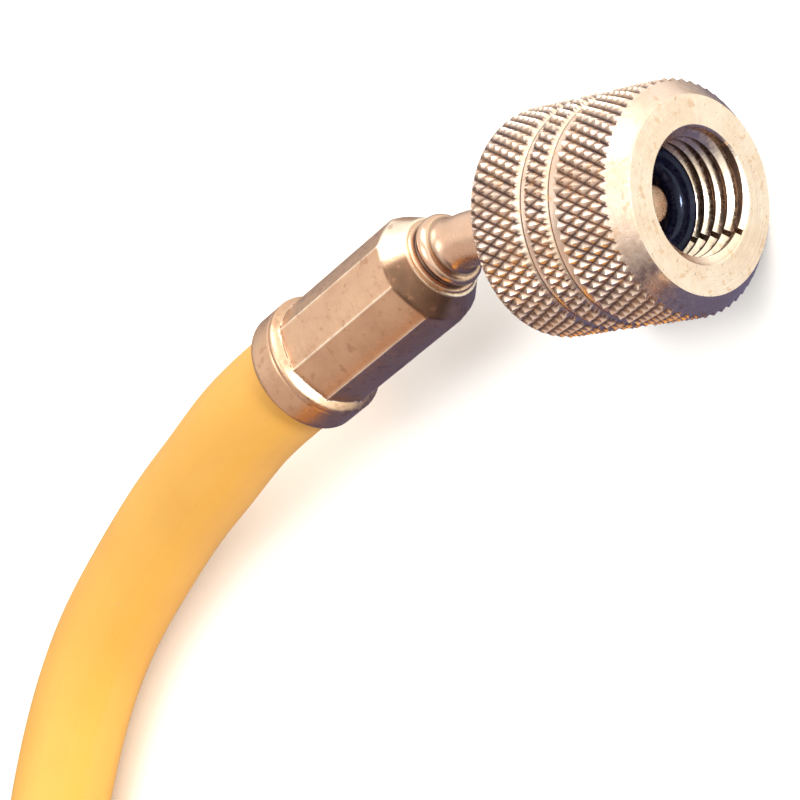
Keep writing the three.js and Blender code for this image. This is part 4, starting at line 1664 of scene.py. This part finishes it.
class Studio:
    """The floor, the lamps and the surrounding light."""

    LAMPS = (
        Softbox("left_softbox", (0.1, 1.2, 0.85), (1.5, 0.75), 14.0, (1.0, 0.985, 0.955)),
        Softbox("top_softbox", (-0.25, 0.1, 1.3), (1.0, 0.6), 5.0, (1.0, 0.98, 0.95)),
        Softbox("front_softbox", (1.3, 0.05, 0.3), (0.4, 0.25), 22.0, (0.88, 0.93, 1.0)),
    )
    DIM: Colour = (0.13, 0.085, 0.075, 1.0)
    GLOWS = (
        Glow((0.0, -0.5, -0.86), (-0.2, 0.8), (0.20, 0.20, 0.36, 1.0)),
        Glow((0.25, 0.75, 0.6), (-0.42, -0.04), (0.72, 0.66, 0.62, 1.0)),
        Glow((-0.5, -0.68, 0.54), (0.80, 0.96), (1.15, 1.0, 0.92, 1.0)),
        Glow((0.25, 0.75, 0.6), (-0.02, 0.30), (1.55, 1.52, 1.46, 1.0)),
        Glow((1.0, 0.4, 0.0), (0.45, 0.8), (1.92, 2.05, 1.86, 1.0)),
    )
    STRENGTH = 0.8
    FLOOR_HALF = 2.5
    FLOOR_LINES = 9

    def surround(self) -> bpy.types.World:
        """Makes the surrounding light.

        It starts dim, and each glow covers the ones before it: bright to the left, above and in
        front of the nut's face, bluish below.

        Returns:
            The world.
        """
        sheet = NodeSheet(bpy.data.worlds.new("studio_surround"))
        direction = sheet.add("TexCoord").outputs["Generated"]
        light = self.DIM
        for glow in self.GLOWS:
            dot = sheet.add("VectorMath", {0: direction, 1: glow.toward}, operation="DOT_PRODUCT")
            light = sheet.mix(sheet.ramp(dot.outputs["Value"], glow.span), light, glow.colour)
        background = sheet.tree.nodes["Background"]
        sheet.join(background.inputs["Color"], light)
        sheet.join(background.inputs["Strength"], self.STRENGTH)
        return sheet.owner

    def build(self) -> None:
        """Makes all of it."""
        for lamp in self.LAMPS:
            lamp.build()
        bpy.context.scene.world = self.surround()
        side = np.linspace(-self.FLOOR_HALF, self.FLOOR_HALF, self.FLOOR_LINES)
        x, y = np.meshgrid(side, side, indexing="ij")
        points = np.stack([x, y, np.zeros_like(x)], -1) / MM
        floor = Shell().add(Grid(points, ring_columns=False)).to_piece("studio_floor")
        floor.data.materials.append(FloorFinish().build())
        floor.visible_glossy = False


def main() -> None:
    """Builds the camera, the hose, its fittings and the studio."""
    Camera().build()
    finishes = Finishes.build()
    near = EndFitting(
        "", face=(26.38, 2.49, 9.85), turn=0.0, bend=22.7, drop=0.6, nut_body=Body.BENT_END_NUT
    )
    far = EndFitting(
        "far_", face=(62.58, -55.61, 9.85), turn=90.0, bend=0.0, drop=0.0, nut_body=Body.STRAIGHT_END_NUT
    )
    form = Hose()
    hose, line = form.build("charging_hose_tube", near, far)
    dress(hose, finishes.hose, Slot.HOSE, Body.ROOT, "hose_lead", "hose_coil", "hose_tail")
    centre = (form.centre[0] + near.face[0], form.centre[1] + near.face[1])
    tie = dress(form.tie.build("hose_tie", centre), finishes.tie, Slot.TIE, Body.ROOT, "coil_tie")
    near.build(finishes)
    far_pieces = far.build(finishes)
    tuple(near.at_tail(near.ferrule.end)[0] * MM)
    Studio().build()
    bpy.context.scene.view_settings.view_transform = "Standard"


if __name__ == "__main__":
    main()
